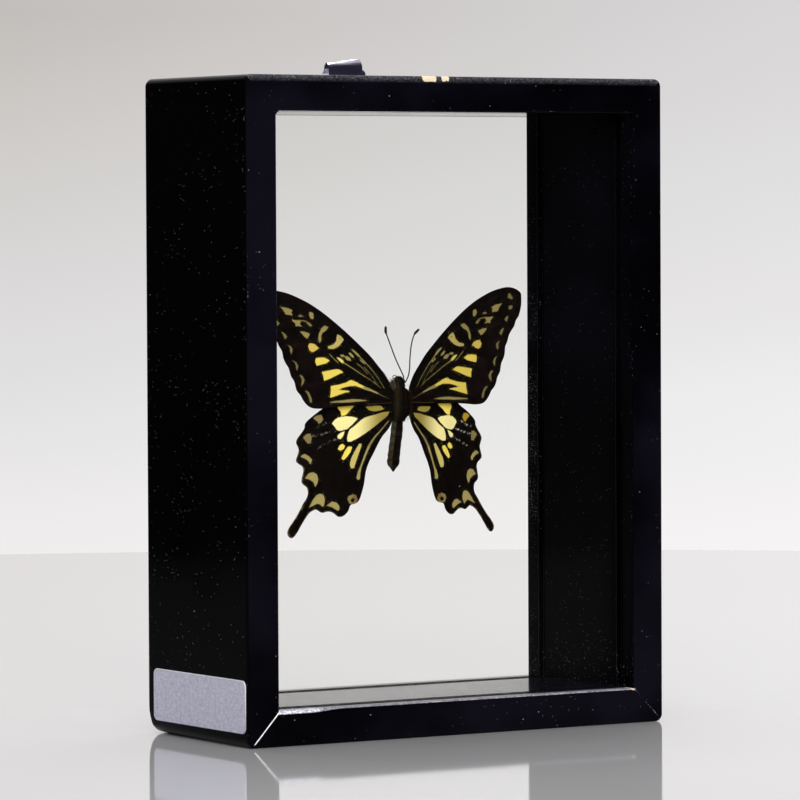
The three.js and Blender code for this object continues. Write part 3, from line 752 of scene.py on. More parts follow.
HINDWING = [
    (3.1, -2.2), (6, 0.4), (12, 1.9), (18, 1.8), (22, 0.3), (25, -2.1), (27, -3.4), (29, -4.9),
    (30.6, -6.3), (31.2, -7.4), (31.2, -8.1), (32.1, -9.6), (33.3, -11.1), (33.9, -12.4), (33.6, -13.6),
    (33.1, -15), (33.5, -16.6), (33.95, -18.2), (33.4, -19.1), (32.1, -20.05), (31.7, -21.3),
    (32.05, -23), (32.3, -24.6), (31.9, -25.55), (30.7, -26.55), (30.35, -28.1), (30.75, -29.65),
    (32.05, -31.5), (33.4, -33.7), (35, -36), (36.45, -37.75), (37.5, -39.2), (37.8, -40.4),
    (37.4, -41.4), (36.5, -41.9), (35.45, -41.3), (34.3, -39.8), (33, -37.75), (31.5, -35.75),
    (30.2, -34.3), (29, -33.65), (28, -33.4), (26.8, -34.2), (25.9, -34.4), (25, -34.2), (23.75, -34.1),
    (22.4, -34.7), (21.3, -35.6), (20.1, -35.8), (18.9, -35.25), (17.8, -34.1), (17.3, -32.8),
    (16.8, -32.15), (15.6, -31.9), (14.4, -31.3), (13.65, -30.1), (13, -28.2), (12.4, -26),
    (12.1, -24.1), (11.7, -21.8), (10.65, -19), (9.2, -16.25), (7.8, -13.4), (6.45, -11.1), (4.8, -9.2),
    (3.6, -7.1), (3.1, -5.4),
]
TONES = {
    "straw": linear(254, 227, 104),
    "hay": linear(244, 228, 122),
    "sand": linear(232, 200, 98),
    "cream": linear(255, 242, 168),
    "dull": linear(206, 188, 112),
    "stone": linear(164, 150, 94),
    "khaki": linear(136, 123, 80),
    "olive": linear(150, 133, 62),
    "amber": linear(190, 150, 44),
    "umber": linear(128, 92, 50),
    "bark": linear(92, 78, 54),
}
# Closed patches as (tone, outline).
FOREWING_PATCHES = [
    ("khaki", [(43, 31.2), (43.2, 32.3), (43.9, 32.4), (44.6, 31.6), (44.7, 30.7), (44, 30.8)]),
    ("khaki", [(43.1, 27.8), (43.3, 28.5), (44, 28.7), (44.6, 28.7), (44.4, 27.9), (43.7, 27.4)]),
    ("stone", [(40.45, 29.3), (39.3, 29.1), (38, 28.9), (36.3, 28.2), (36.9, 27.6), (36.5, 26.8),
        (38.7, 27), (39.2, 27.9), (39.8, 28.8)]),
    ("khaki", [(32.7, 26.3), (33.6, 26.75), (34.5, 26.5), (34, 26.2)]),
    ("stone", [(29.1, 25.9), (29.3, 27.2), (29.9, 27.6), (30.6, 27.4), (30.5, 26.4), (30, 25.5),
        (29.4, 25.5)]),
    ("stone", [(33.8, 24.8), (34.4, 25.15), (35.3, 25.1), (36.7, 25.35), (36.2, 24.7), (35.5, 24.2),
        (35.4, 23.3), (34.6, 23.5), (33.4, 23.3), (34.1, 24)]),
    ("khaki", [(29.9, 23.3), (30.4, 24), (31.3, 24.5), (31.5, 24.2), (31, 23.7), (30.8, 23.3)]),
    ("stone", [(33.95, 21.7), (32.6, 21.6), (30.8, 20.95), (31, 20.6), (31.7, 19.6), (32.4, 20),
        (33.3, 20.9)]),
    ("sand", [(28.1, 16.6), (29, 17.55), (30, 17.95), (31.1, 18), (31.6, 17.1), (31.2, 15.95),
        (30.4, 15.4), (29.3, 15.75)]),
    ("straw", [(24.6, 12.7), (26.2, 13.55), (27.8, 13.6), (29.25, 13.45), (29.45, 12.4), (29, 11.25),
        (27.3, 11.6), (25.6, 12)]),
    ("straw", [(20.1, 9.05), (21.3, 9.85), (22.5, 9.95), (25, 9.6), (27.35, 9.2), (26.95, 7.8),
        (26.9, 6.6), (24.6, 7.3), (21.6, 8.55)]),
    ("straw", [(12.8, 4.5), (13.8, 4.95), (15.9, 6), (17.5, 6.6), (18.9, 5.9), (21.2, 5.3),
        (24.7, 4.85), (24.7, 3.5), (25.05, 1.4), (23.4, 1.8), (20.8, 2.55), (18.2, 3.15), (20, 3.45),
        (22.6, 3.6), (20.8, 4.25), (18.4, 4.8), (15.8, 4.85), (13.8, 4.15), (12.8, 3.75)]),
    ("stone", [(12.5, 0.2), (14.8, 0.55), (17.5, 0.66), (20.5, 0.44), (25, 0.05), (25, -0.12),
        (20.5, -0.22), (17, -0.1), (14.5, 0.05)]),
    ("khaki", [(33.3, 3.65), (32.6, 3.5), (32, 2.95), (31.6, 2.1), (31.1, 1), (31.05, 0.05),
        (31.55, 0.05), (31.9, 1.2), (32.2, 2), (32.65, 2.8)]),
    ("khaki", [(35.3, 8.4), (34.35, 8.25), (33.6, 7), (33.95, 5.9), (34.6, 5.1), (34.6, 5.95),
        (34.4, 6.9), (34.75, 7.8)]),
    ("khaki", [(37.35, 12.9), (36.2, 12.3), (35.55, 11.1), (36.05, 9.9), (36.3, 10.6), (36.3, 11.4),
        (36.8, 12.4)]),
    ("khaki", [(38.55, 17.6), (37.55, 17.1), (37.2, 16.2), (37.65, 14.95), (38.05, 15.6),
        (37.95, 16.6)]),
    ("khaki", [(40.6, 21.7), (39.4, 21.1), (38.8, 20.1), (39.5, 19.45), (40, 20.6)]),
    ("khaki", [(42.7, 25.4), (41.9, 25.1), (41.2, 24.3), (41.9, 23.6), (42.35, 24.4)]),
    ("stone", [(24.1, 22.9), (25.5, 23.4), (26.8, 22.3), (27.6, 20.8), (27.95, 19.3), (27.6, 18.15),
        (27.05, 18.9), (27, 20.2), (26.6, 21.1), (25, 22)]),
    ("dull", [(21.1, 20.6), (20, 20.1), (18.95, 19), (19.8, 18.2), (21.1, 16.95), (22.9, 16.3),
        (24.7, 16.4), (24.85, 16.95), (23, 17.4), (21.7, 18.6), (21.5, 19.7)]),
    ("stone", [(15.8, 13.6), (16.4, 14.4), (17.2, 15), (17.5, 14.8), (17, 14), (16.3, 13.5)]),
    ("stone", [(16.9, 12.6), (17.2, 13.3), (18.2, 13.9), (18.9, 13.6), (18.5, 12.9), (17.6, 12.5)]),
    ("stone", [(18.8, 13.8), (19.6, 14.4), (20.6, 14.3), (20.2, 13.8)]),
    ("hay", [(19.3, 11.8), (19.8, 12.6), (20.8, 13.4), (21.9, 13.6), (21.2, 12.8), (20.3, 12)]),
    ("stone", [(13.6, 13.5), (14.3, 14.6), (15.4, 15.6), (16.4, 15.9), (15.6, 15), (14.5, 14)]),
]
FOREWING_HOLES = [
    [(20.75, 19.35), (20.4, 19.5), (20.2, 19.25), (20.4, 19), (20.7, 19.05)],
]
# Fine streaks as (tone, width at the start, width at the end, route).
FOREWING_STREAKS = [
    ("stone", -0.08, 0.2, [(5.9, 3.9), (8, 7.2), (10.4, 10.1), (12.9, 12.7), (14.6, 14.4), (16.2, 16)]),
    ("khaki", -0.06, 0.04, [(8.4, 5.2), (10, 7.6), (11.8, 9.6), (12.6, 10.6)]),
    ("khaki", -0.02, 0.06, [(11.6, 8.3), (13.2, 10.2), (15, 11.6)]),
    ("stone", -0.08, 0.16, [(7.2, 4.1), (10.5, 6.4), (14, 8.5), (16.6, 10.2), (19.4, 11.8)]),
    # painted highlight: a thin pale line along a vein
    ("stone", 0.08, 0.08, [(21.4, 11.9), (22.8, 13.1), (24.4, 14.7)]),
    ("stone", 0.16, 0.2, [(12.5, 11.6), (13.8, 12.6)]),
    ("khaki", 0.18, 0.2, [(30, 23.5), (30.8, 24.2), (32, 24.8), (33.2, 25), (34.4, 25.1)]),
    ("bark", -0.05, 0.3, [(4.6, 0.6), (8.2, 2.25)]),
    ("stone", 0.3, 0.85, [(8.2, 2.25), (10.6, 3.3), (13, 4.15)]),
    ("bark", -0.1, -0.04, [(3.4, -0.55), (8, -0.85), (12, -0.95)]),
]
FOREWING_VEINS = [
    [(3.3, 3), (9, 11.6), (16, 18.6), (24, 25.2), (33, 30.6), (41, 33.2)],
    [(3.3, 2.8), (8, 8.8), (12, 12.9), (17, 16.7), (22.4, 20.9), (25.6, 22.6)],
    [(13, 13.8), (20, 20), (28.6, 26.4)],
    [(17.4, 17), (26, 23.8), (35.5, 30.9)],
    [(22.4, 20.9), (29, 25), (36.5, 29.8), (43.4, 33.2)],
    [(29, 25), (37.5, 29.4), (46.8, 32.4)],
    [(29, 25), (37.6, 26.4), (48, 30)],
    [(25.6, 22.6), (27.9, 20.2), (26.8, 16.4)],
    [(27.5, 21.4), (34.5, 22.7), (41.5, 26), (47.3, 26.9)],
    [(27.9, 19.9), (34, 19), (39.4, 22.3), (45.2, 23.6)],
    [(3.2, 2.2), (8, 4), (12, 6.9), (16.5, 9.6), (20.8, 11.1), (24, 13.9), (26.8, 16.4)],
    [(26.8, 16.4), (32, 18.6), (38, 18.5), (42.9, 20)],
    [(24, 13.9), (30, 14.6), (36, 14), (40.8, 15.3)],
    [(20.8, 11.1), (26, 10.5), (33, 9.4), (38.6, 10)],
    [(16.5, 9.2), (20, 7), (27, 5.6), (33, 4.4), (36.6, 4.8)],
    [(3.2, 1), (8, 1.3), (16, 1.5), (25, 0.6), (33, -0.4)],
]
HINDWING_PATCHES = [
    ("olive", [(6.1, -2.8), (7, -1.9), (9, -1.8), (11.4, -1.95), (11.9, -2.15), (10.85, -3.1),
        (9.2, -3.5), (7.2, -3.2)]),
    ("straw", [(14.5, 0.2), (15.6, -1.75), (16.9, -2.8), (18.1, -4.1), (18.8, -4.65), (19.8, -4.75),
        (19.95, -3.5), (20.7, -2.4), (20.9, -0.8), (20.6, 0.4)]),
    ("cream", [(14.7, -5.7), (15.7, -5.2), (18, -4.95), (20.9, -5.25), (22.2, -6.2), (22.8, -7),
        (21.9, -8.1), (21.2, -9.05), (20, -9.3), (18, -8.8), (15.8, -7)]),
    ("cream", [(18.8, -9.5), (20.1, -10.05), (21.1, -10.85), (20.85, -11.55), (20.1, -11.8),
        (19.4, -11)]),
    ("straw", [(18.8, -13.95), (19.5, -13.35), (20.25, -13.8), (20.95, -14.85), (20.25, -15.35),
        (19.1, -14.8)]),
    ("straw", [(16.45, -14.4), (17.7, -14.2), (18.95, -15.95), (19.85, -17.8), (19.2, -18.25),
        (17.85, -16.9), (16.95, -15.7)]),
    ("dull", [(13.2, -13.6), (13.9, -13.4), (15.4, -15.7), (16.75, -18), (17.15, -19.7), (16.8, -20.85),
        (15.8, -20.8), (14.8, -18.1), (13.8, -15.4)]),
    ("umber", [(14.55, -30.5), (15.1, -29.3), (16.2, -28.95), (16.2, -30.3), (15.4, -31.2),
        (15, -31.6)]),
    ("khaki", [(16.2, -28.95), (17.7, -29.5), (18.05, -30.6), (17.4, -31.7), (16.2, -32.05),
        (15, -31.6), (15.4, -31.2), (16.2, -30.3)]),
    ("amber", [(26.1, -4.35), (27.4, -4.5), (28.5, -5.25), (27.85, -5.85), (27.2, -6.3), (26.9, -7),
        (26.1, -6.6), (25.6, -5.5)]),
    ("khaki", [(29.5, -10.15), (30.6, -10.1), (31.75, -11.2), (31.1, -12.05), (30.3, -13),
        (29.3, -12.9), (29.2, -11.5)]),
    ("stone", [(29, -18.2), (29.9, -17), (31.1, -16.3), (31.9, -16.5), (32.45, -17.1), (31.2, -17.55),
        (30.1, -18.4), (29.5, -19.3)]),
    ("stone", [(27.2, -24), (27.6, -22.6), (28.75, -21.9), (30.2, -22.3), (31.15, -23.7), (29.9, -24),
        (28.55, -24.95), (28.05, -26.3), (27.4, -25.3)]),
    ("stone", [(25.2, -30.2), (25.55, -29), (26.45, -28.6), (27.65, -29), (28.85, -30.5),
        (30.2, -32.65), (28.55, -31.85), (27.4, -31.45), (26.6, -31.85), (25.9, -32.55),
        (25.35, -31.5)]),
    ("stone", [(20.75, -32.6), (21.6, -31.45), (23, -31.05), (24.6, -32.2), (23.2, -32.6),
        (22.1, -33.25), (21.2, -33.85), (20.8, -33.4)]),
]
# The hindwing's large cell, which pales outwards.
CELL_PATCH = [
    (4.4, -3.7), (6.6, -3.9), (9.2, -4.65), (11.8, -5.25), (13.3, -6), (15.1, -7.6), (17.15, -9),
    (17.6, -10.1), (17.95, -11.6), (17.8, -12.65), (16.6, -12.65), (14.2, -11.5), (10.8, -9.3),
    (7.2, -6.6), (4.9, -4.8),
]
HINDWING_HOLES = [
    [(15.5, -30.7), (15.8, -30.1), (16.5, -29.95), (17.1, -30.4), (17.1, -31), (16.5, -31.5),
        (15.8, -31.4)],
]
HINDWING_STREAKS = [
    ("khaki", 0.15, 0.6, [(4.6, -6.6), (7, -9.3), (9.2, -11.6), (10.9, -14.2)]),
    ("stone", 0.6, 0.4, [(10.9, -14.2), (12.2, -17.4), (13.2, -20.2)]),
    ("stone", 0.4, 1.15, [(13.2, -20.2), (13.9, -22.2), (14.2, -23.9)]),
]
HINDWING_VEINS = [
    [(3.4, -3), (9, -3.9), (13.5, -5.4), (17.6, -8.9), (18.4, -12.8)],
    [(13, -4.7), (17, -4.4), (22.6, -5.2), (27, -7.3), (31.2, -7.7)],
    [(17.6, -8.9), (21.8, -9.9), (28, -12.2), (33.7, -12.6)],
    [(18.2, -11.6), (22, -12.9), (28, -15.6), (33.8, -18.4)],
    [(18.4, -12.8), (21, -15.8), (26, -20.5), (32.2, -24.5)],
    [(17.2, -13.3), (19.9, -18.8), (25.2, -26.8), (30.6, -31.6), (35.2, -38), (36.9, -40.6)],
    [(3.4, -4.6), (9, -8.4), (14, -11.9), (18.4, -12.8)],
    [(14, -12.3), (16.4, -16.6), (18.6, -23.5), (22.4, -30), (25.6, -34)],
    [(8.6, -8.6), (12.4, -13.6), (15.2, -21.5), (17.9, -28.2), (20.1, -35.4)],
    [(3.5, -5.6), (7.8, -11), (10.9, -17), (12.9, -23.6), (15.2, -31.4)],
    [(3.4, -2.4), (10, -0.6), (18, -0.3), (24, -2.8)],
]
# Painted shade: how bright the marks of each wing are in the photograph, lower on the wings that get less
# light, the right forewing most.
PAINTED_SHADE = {"forewing_left": 0.81, "hindwing_left": 0.98, "forewing_right": 0.62, "hindwing_right": 0.88}
# Veins on the right hindwing's dark disc that have lost their scales.
RUBBED_VEINS = [
    [(21.5, -8.6), (25, -10), (29.4, -10.9)],
    [(20.8, -11.6), (24, -12.8), (27.6, -14.8)],
    [(24.5, -6.6), (27.5, -8.2), (29.5, -8.4)],
]


def forewing_set(u, v):
    """How far behind the specimen's middle plane the forewing lies."""
    rear_corner = smoothstep(u, 24, 32) * (1 - smoothstep(v, 0, 8))
    return 0.045 * u + 0.11 * v - 2.9 + 0.9 * rear_corner


def hindwing_set(u, v):
    """The same for the hindwing, whose inner edge is folded and whose front lies under the forewing."""
    tail = 1 - 0.4 * smoothstep(-v, 26, 41)
    inner_fold = 0.5 * smoothstep(-v, 6, 20) * smoothstep(18 - u, 0, 5)
    under = 0.8 * smoothstep(v, -4, 0)
    return 0.25 * np.maximum(u - 18, 0) * tail + 0.2 * np.minimum(u - 18, 0) + inner_fold + under


def distance_to_line(points, line, closed=False):
    """Distance from each point to a route, and how far along it (0 to 1) the nearest place is."""
    line = np.asarray(line, float)
    starts, ends = (line, np.roll(line, -1, 0)) if closed else (line[:-1], line[1:])
    best, where = np.full(len(points), 1e9), np.zeros(len(points))
    lengths = np.linalg.norm(ends - starts, axis=1)
    before = np.concatenate([[0], np.cumsum(lengths)])
    for i, (a, b) in enumerate(zip(starts, ends)):
        along = np.clip(((points - a) @ (b - a)) / max(lengths[i] ** 2, 1e-9), 0, 1)
        gap = np.linalg.norm(points - (a + along[:, None] * (b - a)), axis=1)
        nearer = gap < best
        best = np.where(nearer, gap, best)
        where = np.where(nearer, (before[i] + along * lengths[i]) / before[-1], where)
    return best, where


def inside(points, loop):
    """Whether each point lies within the loop."""
    loop = np.asarray(loop, float)
    hit = np.zeros(len(points), bool)
    for (x1, y1), (x2, y2) in zip(loop, np.roll(loop, -1, 0)):
        crosses = (y1 > points[:, 1]) != (y2 > points[:, 1])
        at = (x2 - x1) * (points[:, 1] - y1) / (y2 - y1 + 1e-12) + x1
        hit ^= crosses & (points[:, 0] < at)
    return hit


def depth_inside(points, loop):
    """Distance to the loop, positive inside it."""
    gap, _ = distance_to_line(points, loop, closed=True)
    return np.where(inside(points, loop), gap, -gap)


def wing_net(rim, lines):
    """Flat triangles inside the rim, with corners along every (line, whether it is closed)."""
    places = [tuple(p) for p in rim]
    edges = []
    for line, closed in lines:
        start, count = len(places), len(line)
        places += [tuple(p) for p in line]
        edges += [(start + i, start + (i + 1) % count) for i in range(count if closed else count - 1)]
    (left, bottom), (right, top) = rim.min(0), rim.max(0)
    row = NET_SPACING * 0.866
    rows, columns = int((top - bottom) / row) + 1, int((right - left) / NET_SPACING) + 1
    cells = [(r, c + 0.5 * (r % 2)) for r in range(rows) for c in range(columns)]
    grid = np.array([(left + c * NET_SPACING, bottom + r * row) for r, c in cells])
    grid += rng.uniform(-0.12, 0.12, grid.shape) * NET_SPACING
    places += [tuple(p) for p in grid[depth_inside(grid, rim) > 0.35 * NET_SPACING]]
    made = delaunay_2d_cdt([Vector(p) for p in places], edges, [list(range(len(rim)))], 1, 1e-4, False)
    flat = np.array([tuple(p) for p in made[0]])
    kept = inside(np.array([flat[list(f)].mean(0) for f in made[2]]), rim)
    faces = [f for f, keep in zip(made[2], kept) if keep]
    used = sorted({i for f in faces for i in f})
    renamed = {old: new for new, old in enumerate(used)}
    return flat[used], [tuple(renamed[i] for i in f) for f in faces]


def wing_tints(flat, patches, holes, streaks, cell):
    """Signed depth inside the nearest mark, and that mark's tone, at every point."""
    layers = [(depth_inside(flat, loop), TONES[tone]) for tone, loop in patches]
    for tone, start, end, route in streaks:
        gap, along = distance_to_line(flat, spline(route, 4))
        layers.append((0.5 * (start + (end - start) * along) - gap, TONES[tone]))
    if cell is not None:
        share = smoothstep(flat[:, 0], 6.5, 16)[:, None]
        tones = (1 - share) * np.array(TONES["olive"]) + share * np.array(TONES["cream"])
        layers.append((depth_inside(flat, cell), tones))
    depth, tint = np.full(len(flat), -9.0), np.zeros((len(flat), 4))
    for more, tone in layers:
        nearer = more > depth
        depth, tint = np.where(nearer, more, depth), np.where(nearer[:, None], tone, tint)
    for loop in holes:
        depth = np.minimum(depth, -depth_inside(flat, loop))
    return depth, tint


def build_wing(name, side, outline, set_back, marks, finish, slip=0.0):
    """A thin sheet with raised veins. side is 1 for the right-hand wing and -1 for the left."""
    patches, holes, streaks, veins, cell = marks
    rim = spline(outline, 4, closed=True)
    vein_lines = [spline(v, 5) for v in veins]
    lines = [(loop, True) for loop in [loop for _, loop in patches] + holes]
    lines += [(line, False) for line in [spline(route, 4) for _, _, _, route in streaks] + vein_lines]
    if cell is not None:
        lines.append((cell, True))
    flat, faces = wing_net(rim, lines)
    depth, tint = wing_tints(flat, patches, holes, streaks, cell)
    to_vein = np.min([distance_to_line(flat, line)[0] for line in vein_lines], axis=0)
    to_rim = distance_to_line(flat, rim, closed=True)[0]
    u, v = flat.T
    ridge = 0.09 * np.exp(-((to_vein / 0.16) ** 2)) - 0.10 * np.exp(-((to_vein - 1.6) ** 2) / 0.8)
    wave = 0.16 * np.sin(0.32 * u + 0.21 * v + side) * np.sin(0.27 * v - 0.12 * u)
    middle = set_back(u, v) + (wave + ridge) * smoothstep(to_rim, 0.0, 1.5)
    half = MEMBRANE / 2 + 0.03 * np.exp(-((to_vein / 0.14) ** 2))
    sheets = [np.stack([side * u, middle + lift * half, v - side * slip], 1) + SPECIMEN for lift in (-1, 1)]
    count = len(flat)
    turns = [(a, b) for f in faces for a, b in zip(f, f[1:] + f[:1])]
    used = set(turns)
    border = [(b, a, a + count, b + count) for a, b in turns if (b, a) not in used]
    both = faces + [tuple(i + count for i in f[::-1]) for f in faces] + border
    # browner towards the outer edge: partly the wing's own tone, partly painted light glowing through the
    # thin wing from behind
    outer = smoothstep(u, 14, 34)[:, None]
    ground = (1 - outer) * np.array(linear(10, 8, 7)) + outer * np.array(linear(18, 13, 12))
    rubbed = np.zeros(count)
    if "hindwing" in name:
        gaps = [distance_to_line(flat, spline(route, 4))[0] for route in RUBBED_VEINS]
        rubbed = (0.8 if side > 0 else 0.3) * (1 - smoothstep(np.min(gaps, axis=0), 0.04, 0.2))
    fringe = 0.5 * (1 - smoothstep(to_rim, 0.1, 0.22)) * smoothstep(-v, 8, 16) * smoothstep(u, 18, 22)
    painted = {"mark": depth, "vein": to_vein, "rubbed": rubbed, "fringe": fringe}
    # the marks' tint is darkened by each wing's painted shade
    painted |= {"tint": tint * PAINTED_SHADE[name], "ground": ground}
    painted = {label: np.concatenate([values, values]) for label, values in painted.items()}
    as_object(name, np.vstack(sheets), both, [finish], "wing_scales", 70, **painted)


def build_wings(finish):
    """Both pairs from one pattern, in which the left hindwing lacks the right one's amber patch."""
    fore = (FOREWING_PATCHES, FOREWING_HOLES, FOREWING_STREAKS, FOREWING_VEINS, None)
    duller = [("khaki" if tone == "amber" else tone, loop) for tone, loop in HINDWING_PATCHES]
    for name, side, patches in (("right", 1, HINDWING_PATCHES), ("left", -1, duller)):
        hind = (patches, HINDWING_HOLES, HINDWING_STREAKS, HINDWING_VEINS, CELL_PATCH)
        build_wing(f"hindwing_{name}", side, HINDWING, hindwing_set, hind, finish, HINDWING_SLIP)
        build_wing(f"forewing_{name}", side, FOREWING, forewing_set, fore, finish)


# ---- Body ----------------------------------------------------------------------------------
# Half thickness of the body (half width, up) from the tip of the abdomen to the crown of the head.
BODY_PROFILE = np.array([
    (0.05, -22.3), (0.3, -22), (0.6, -21.5), (1.1, -20.8), (1.7, -19.9), (1.95, -18.7), (1.78, -17.7),
    (1.9, -16.6), (1.76, -15.4), (1.85, -14), (1.74, -12.7), (1.84, -11.4), (1.74, -10.1), (1.84, -8.8),
    (1.7, -7.4), (1.6, -6.5), (1.9, -5.9), (2.2, -4.8), (2.35, -3), (2.35, -0.5), (2.2, 1.6),
    (1.85, 3.2), (1.4, 4.3), (1.4, 5.1), (1.4, 5.9), (1.05, 6.7), (0.6, 7.25), (0.05, 7.5),
])
BODY_SIDES = 44
# Stretches of hair as (count, from, to, length, how flat it is combed, thickness): thorax, head, abdomen.
HAIR = (
    (6000, -6.2, 4.6, 0.6, 0.6, 0.04),
    (1700, 4.4, 7.3, 0.5, 0.25, 0.035),
    (2600, -20.4, -6.0, 0.35, 0.85, 0.045),
)
SHOULDER_HAIRS, EDGE_HAIRS = 2400, 260
# Rounded parts joined to the body as (place, half size, colour): chest, palps and wing roots.
LOBES = [
    ((-0.35, -0.8, 2.3), (2.0, 2.3, 3.3), (30, 25, 20)),
    ((-0.95, -1.7, 6.7), (0.4, 0.7, 0.85), (46, 40, 32)),
    ((-0.1, -1.7, 6.6), (0.4, 0.7, 0.8), (46, 40, 32)),
    ((2.1, -2.4, 0.2), (1.15, 0.8, 3.4), (16, 11, 9)),
    ((2.3, -2.2, -3.4), (0.9, 0.8, 1.8), (34, 22, 15)),
    ((-2.6, -2.2, 0.0), (1.1, 0.7, 3.3), (18, 13, 10)),
    ((0.05, -3.0, 5.0), (0.75, 0.8, 1.1), (22, 18, 14)),
    ((-2.35, -2.6, 4.4), (0.85, 0.6, 1.1), (78, 72, 54)),
]
EYE = {"out": 1.0, "middle": (-0.6, -2.95, 5.9), "size": (0.72, 0.9, 0.95), "colour": (20, 14, 10)}


def body_line(v):
    """Where the body's middle runs, as (out, back)."""
    waist = 1.7 * smoothstep(-v, 3, 8)
    droop = 1.8 * smoothstep(-v, 10, 23)
    lean = 0.6 * smoothstep(-v, 7, 15) - 0.2 * smoothstep(-v, 18, 22.3) + 0.45 * smoothstep(v, 4, 6.5)
    return -0.45 - lean, -2.7 + waist + droop


def body_tint(angle, v):
    """Colour round the body: black along the back with olive-grey stripes, paler flanks and underside.

    The angle is 0 at the right flank, 90 degrees on the back of the insect, 180 at the left flank."""
    across, facing, left = np.abs(np.cos(angle)), np.sin(angle), np.cos(angle) < 0
    black, olive, brown = (np.array(linear(*c)) for c in ((11, 9, 8), (92, 86, 62), (92, 60, 36)))
    on_thorax = smoothstep(v, -7, -5)
    stripe = np.exp(-(((across - 0.36) / 0.16) ** 2)) * (facing > 0) * on_thorax
    edge_stripe = np.exp(-(((across - 0.8) / 0.2) ** 2)) * (facing > -0.2) * on_thorax * left
    flank = smoothstep(across, 0.60, 0.82) * (1 - on_thorax)
    under = smoothstep(-facing, 0.2, 0.7)
    ring = 0.5 + 0.5 * np.cos(math.tau * (v + 1.2) / 2.45)
    dots = ring**3 * np.exp(-(((across - 0.88) / 0.12) ** 2))
    pale = 0.1 * stripe + 0.55 * edge_stripe + flank * (1 - 0.85 * dots) + 0.8 * under
    pale = np.clip(pale, 0, 1)[:, None]
    rusty = (0.8 * np.exp(-(((v + 18.3) / 1.6) ** 2)) * left + 0.35 * on_thorax)[:, None]
    tint = (1 - pale) * black + pale * ((1 - rusty) * olive + rusty * brown)
    tint[:, 3] = 1.0
    return tint


def body_surface(angle, v):
    """Points on the skin, and the way out from it."""
    half, up = BODY_PROFILE.T
    radius = np.interp(v, up, half)
    out, back = body_line(v)
    deep = 1.0 + 0.05 * smoothstep(v, -6, -2)
    points = np.stack([out + radius * np.cos(angle), back - deep * radius * np.sin(angle), v], 1)
    normal = np.stack([np.cos(angle), -np.sin(angle), -np.interp(v, up, np.gradient(half, up))], 1)
    return points, normal / np.linalg.norm(normal, axis=1)[:, None]


def strands(roots, ways, lengths, width, tints):
    """Many tapering hairs as one mesh: three sides, one bend and a point."""
    count = len(roots)
    lengths = lengths[:, None]
    ways = ways / np.linalg.norm(ways, axis=1)[:, None]
    side = np.cross(ways, [0.3, 0.2, 1.0])
    side /= np.linalg.norm(side, axis=1)[:, None]
    other = np.cross(ways, side)
    drop = np.array([0.0, 0.0, -0.22])
    points = np.zeros((count, 7, 3))
    for ring, (along, thin) in enumerate(((-0.12, 1.0), (0.5, 0.75))):
        centre = roots + ways * along * lengths + drop * max(along, 0) ** 2 * lengths
        for k, (c, s) in enumerate(circle(3)):
            points[:, ring * 3 + k] = centre + (c * side + s * other) * thin * width
    points[:, 6] = roots + (ways + drop) * lengths
    pattern = [(0, 2, 1), (0, 1, 4, 3), (1, 2, 5, 4), (2, 0, 3, 5), (3, 4, 6), (4, 5, 6), (5, 3, 6)]
    faces = [tuple(7 * i + j for j in f) for i in range(count) for f in pattern]
    return points.reshape(-1, 3), faces, np.repeat(tints, 7, axis=0)


def hair_patch(count, low, high, length, flat, width):
    """Hairs over a stretch of the body, combed towards the tail and a little outwards."""
    v = rng.uniform(low, high, count)
    angle = rng.uniform(0, math.tau, count)
    roots, normal = body_surface(angle, v)
    comb = np.array([0.0, 0.15, -1.0])
    ways = normal * (1 - flat) + comb * flat + rng.normal(0, 0.16, (count, 3))
    lengths = length * rng.uniform(0.55, 1.2, count)
    tints = body_tint(angle, v) * rng.uniform(0.7, 1.5, count)[:, None]
    return strands(roots, ways, lengths, width, tints)


def shoulder_tufts(count):
    """Longer hair at the roots of the wings: pale on the left shoulder, brown on the right."""
    side = rng.choice([-1.0, 1.0], count, p=[0.35, 0.65])
    v = np.where(side < 0, rng.normal(5.0, 0.6, count), rng.normal(-1.4, 1.7, count))
    out = np.where(side < 0, -2.6, 2.1) + side * np.abs(rng.normal(0, 0.4, count))
    roots = np.stack([out, -2.9 - side * 0.4 + rng.normal(0, 0.5, count), v], 1)
    ways = np.stack([side * 0.8, -0.3 + rng.normal(0, 0.4, count), 0.4 + rng.normal(0, 0.6, count)], 1)
    tints = np.where((side < 0)[:, None], linear(128, 120, 94), linear(60, 40, 26))
    tints = tints * rng.uniform(0.2, 1.4, count)[:, None]
    return strands(roots, ways, rng.uniform(0.4, 1.0, count), 0.045, tints)


def edge_fringe(count):
    """Fine pale hair along the front edge of the left forewing, next to the body."""
    share = rng.uniform(0, 1, count)
    u = 2.9 + 3.1 * share
    roots = np.stack([-u, forewing_set(u, 4 + 4.8 * share) - 0.15, 3.9 + 4.9 * share], 1)
    out, back = -0.25 + rng.normal(0, 0.3, count), rng.normal(-0.3, 0.3, count)
    ways = np.stack([out, back, np.full(count, 0.9)], 1)
    tints = np.array(linear(150, 144, 120)) * rng.uniform(0.5, 1.3, count)[:, None]
    return strands(roots, ways, rng.uniform(0.4, 1.0, count) * (1 - 0.4 * share), 0.03, tints)


def skin():
    """The body's own surface, slightly lumpy."""
    stretches = ((-22.15, -21, 8), (-20.9, 7.0, 150), (7.1, 7.65, 6))
    rings = np.concatenate([np.linspace(*stretch) for stretch in stretches])
    angle = np.tile(np.linspace(0, math.tau, BODY_SIDES, endpoint=False), len(rings))
    v = np.repeat(rings, BODY_SIDES)
    points, normal = body_surface(angle, v)
    points = points + normal * (0.05 * np.sin(7 * angle + 3 * v) * np.cos(5 * v))[:, None]
    return points, bar_faces(len(rings), BODY_SIDES), body_tint(angle, v)


def tinted_ball(centre, size, colour, rings, sides):
    """A ball with its colour at every point."""
    points, faces = ball(centre, size, rings, sides)
    return points, faces, np.tile(linear(*colour), (len(points), 1))


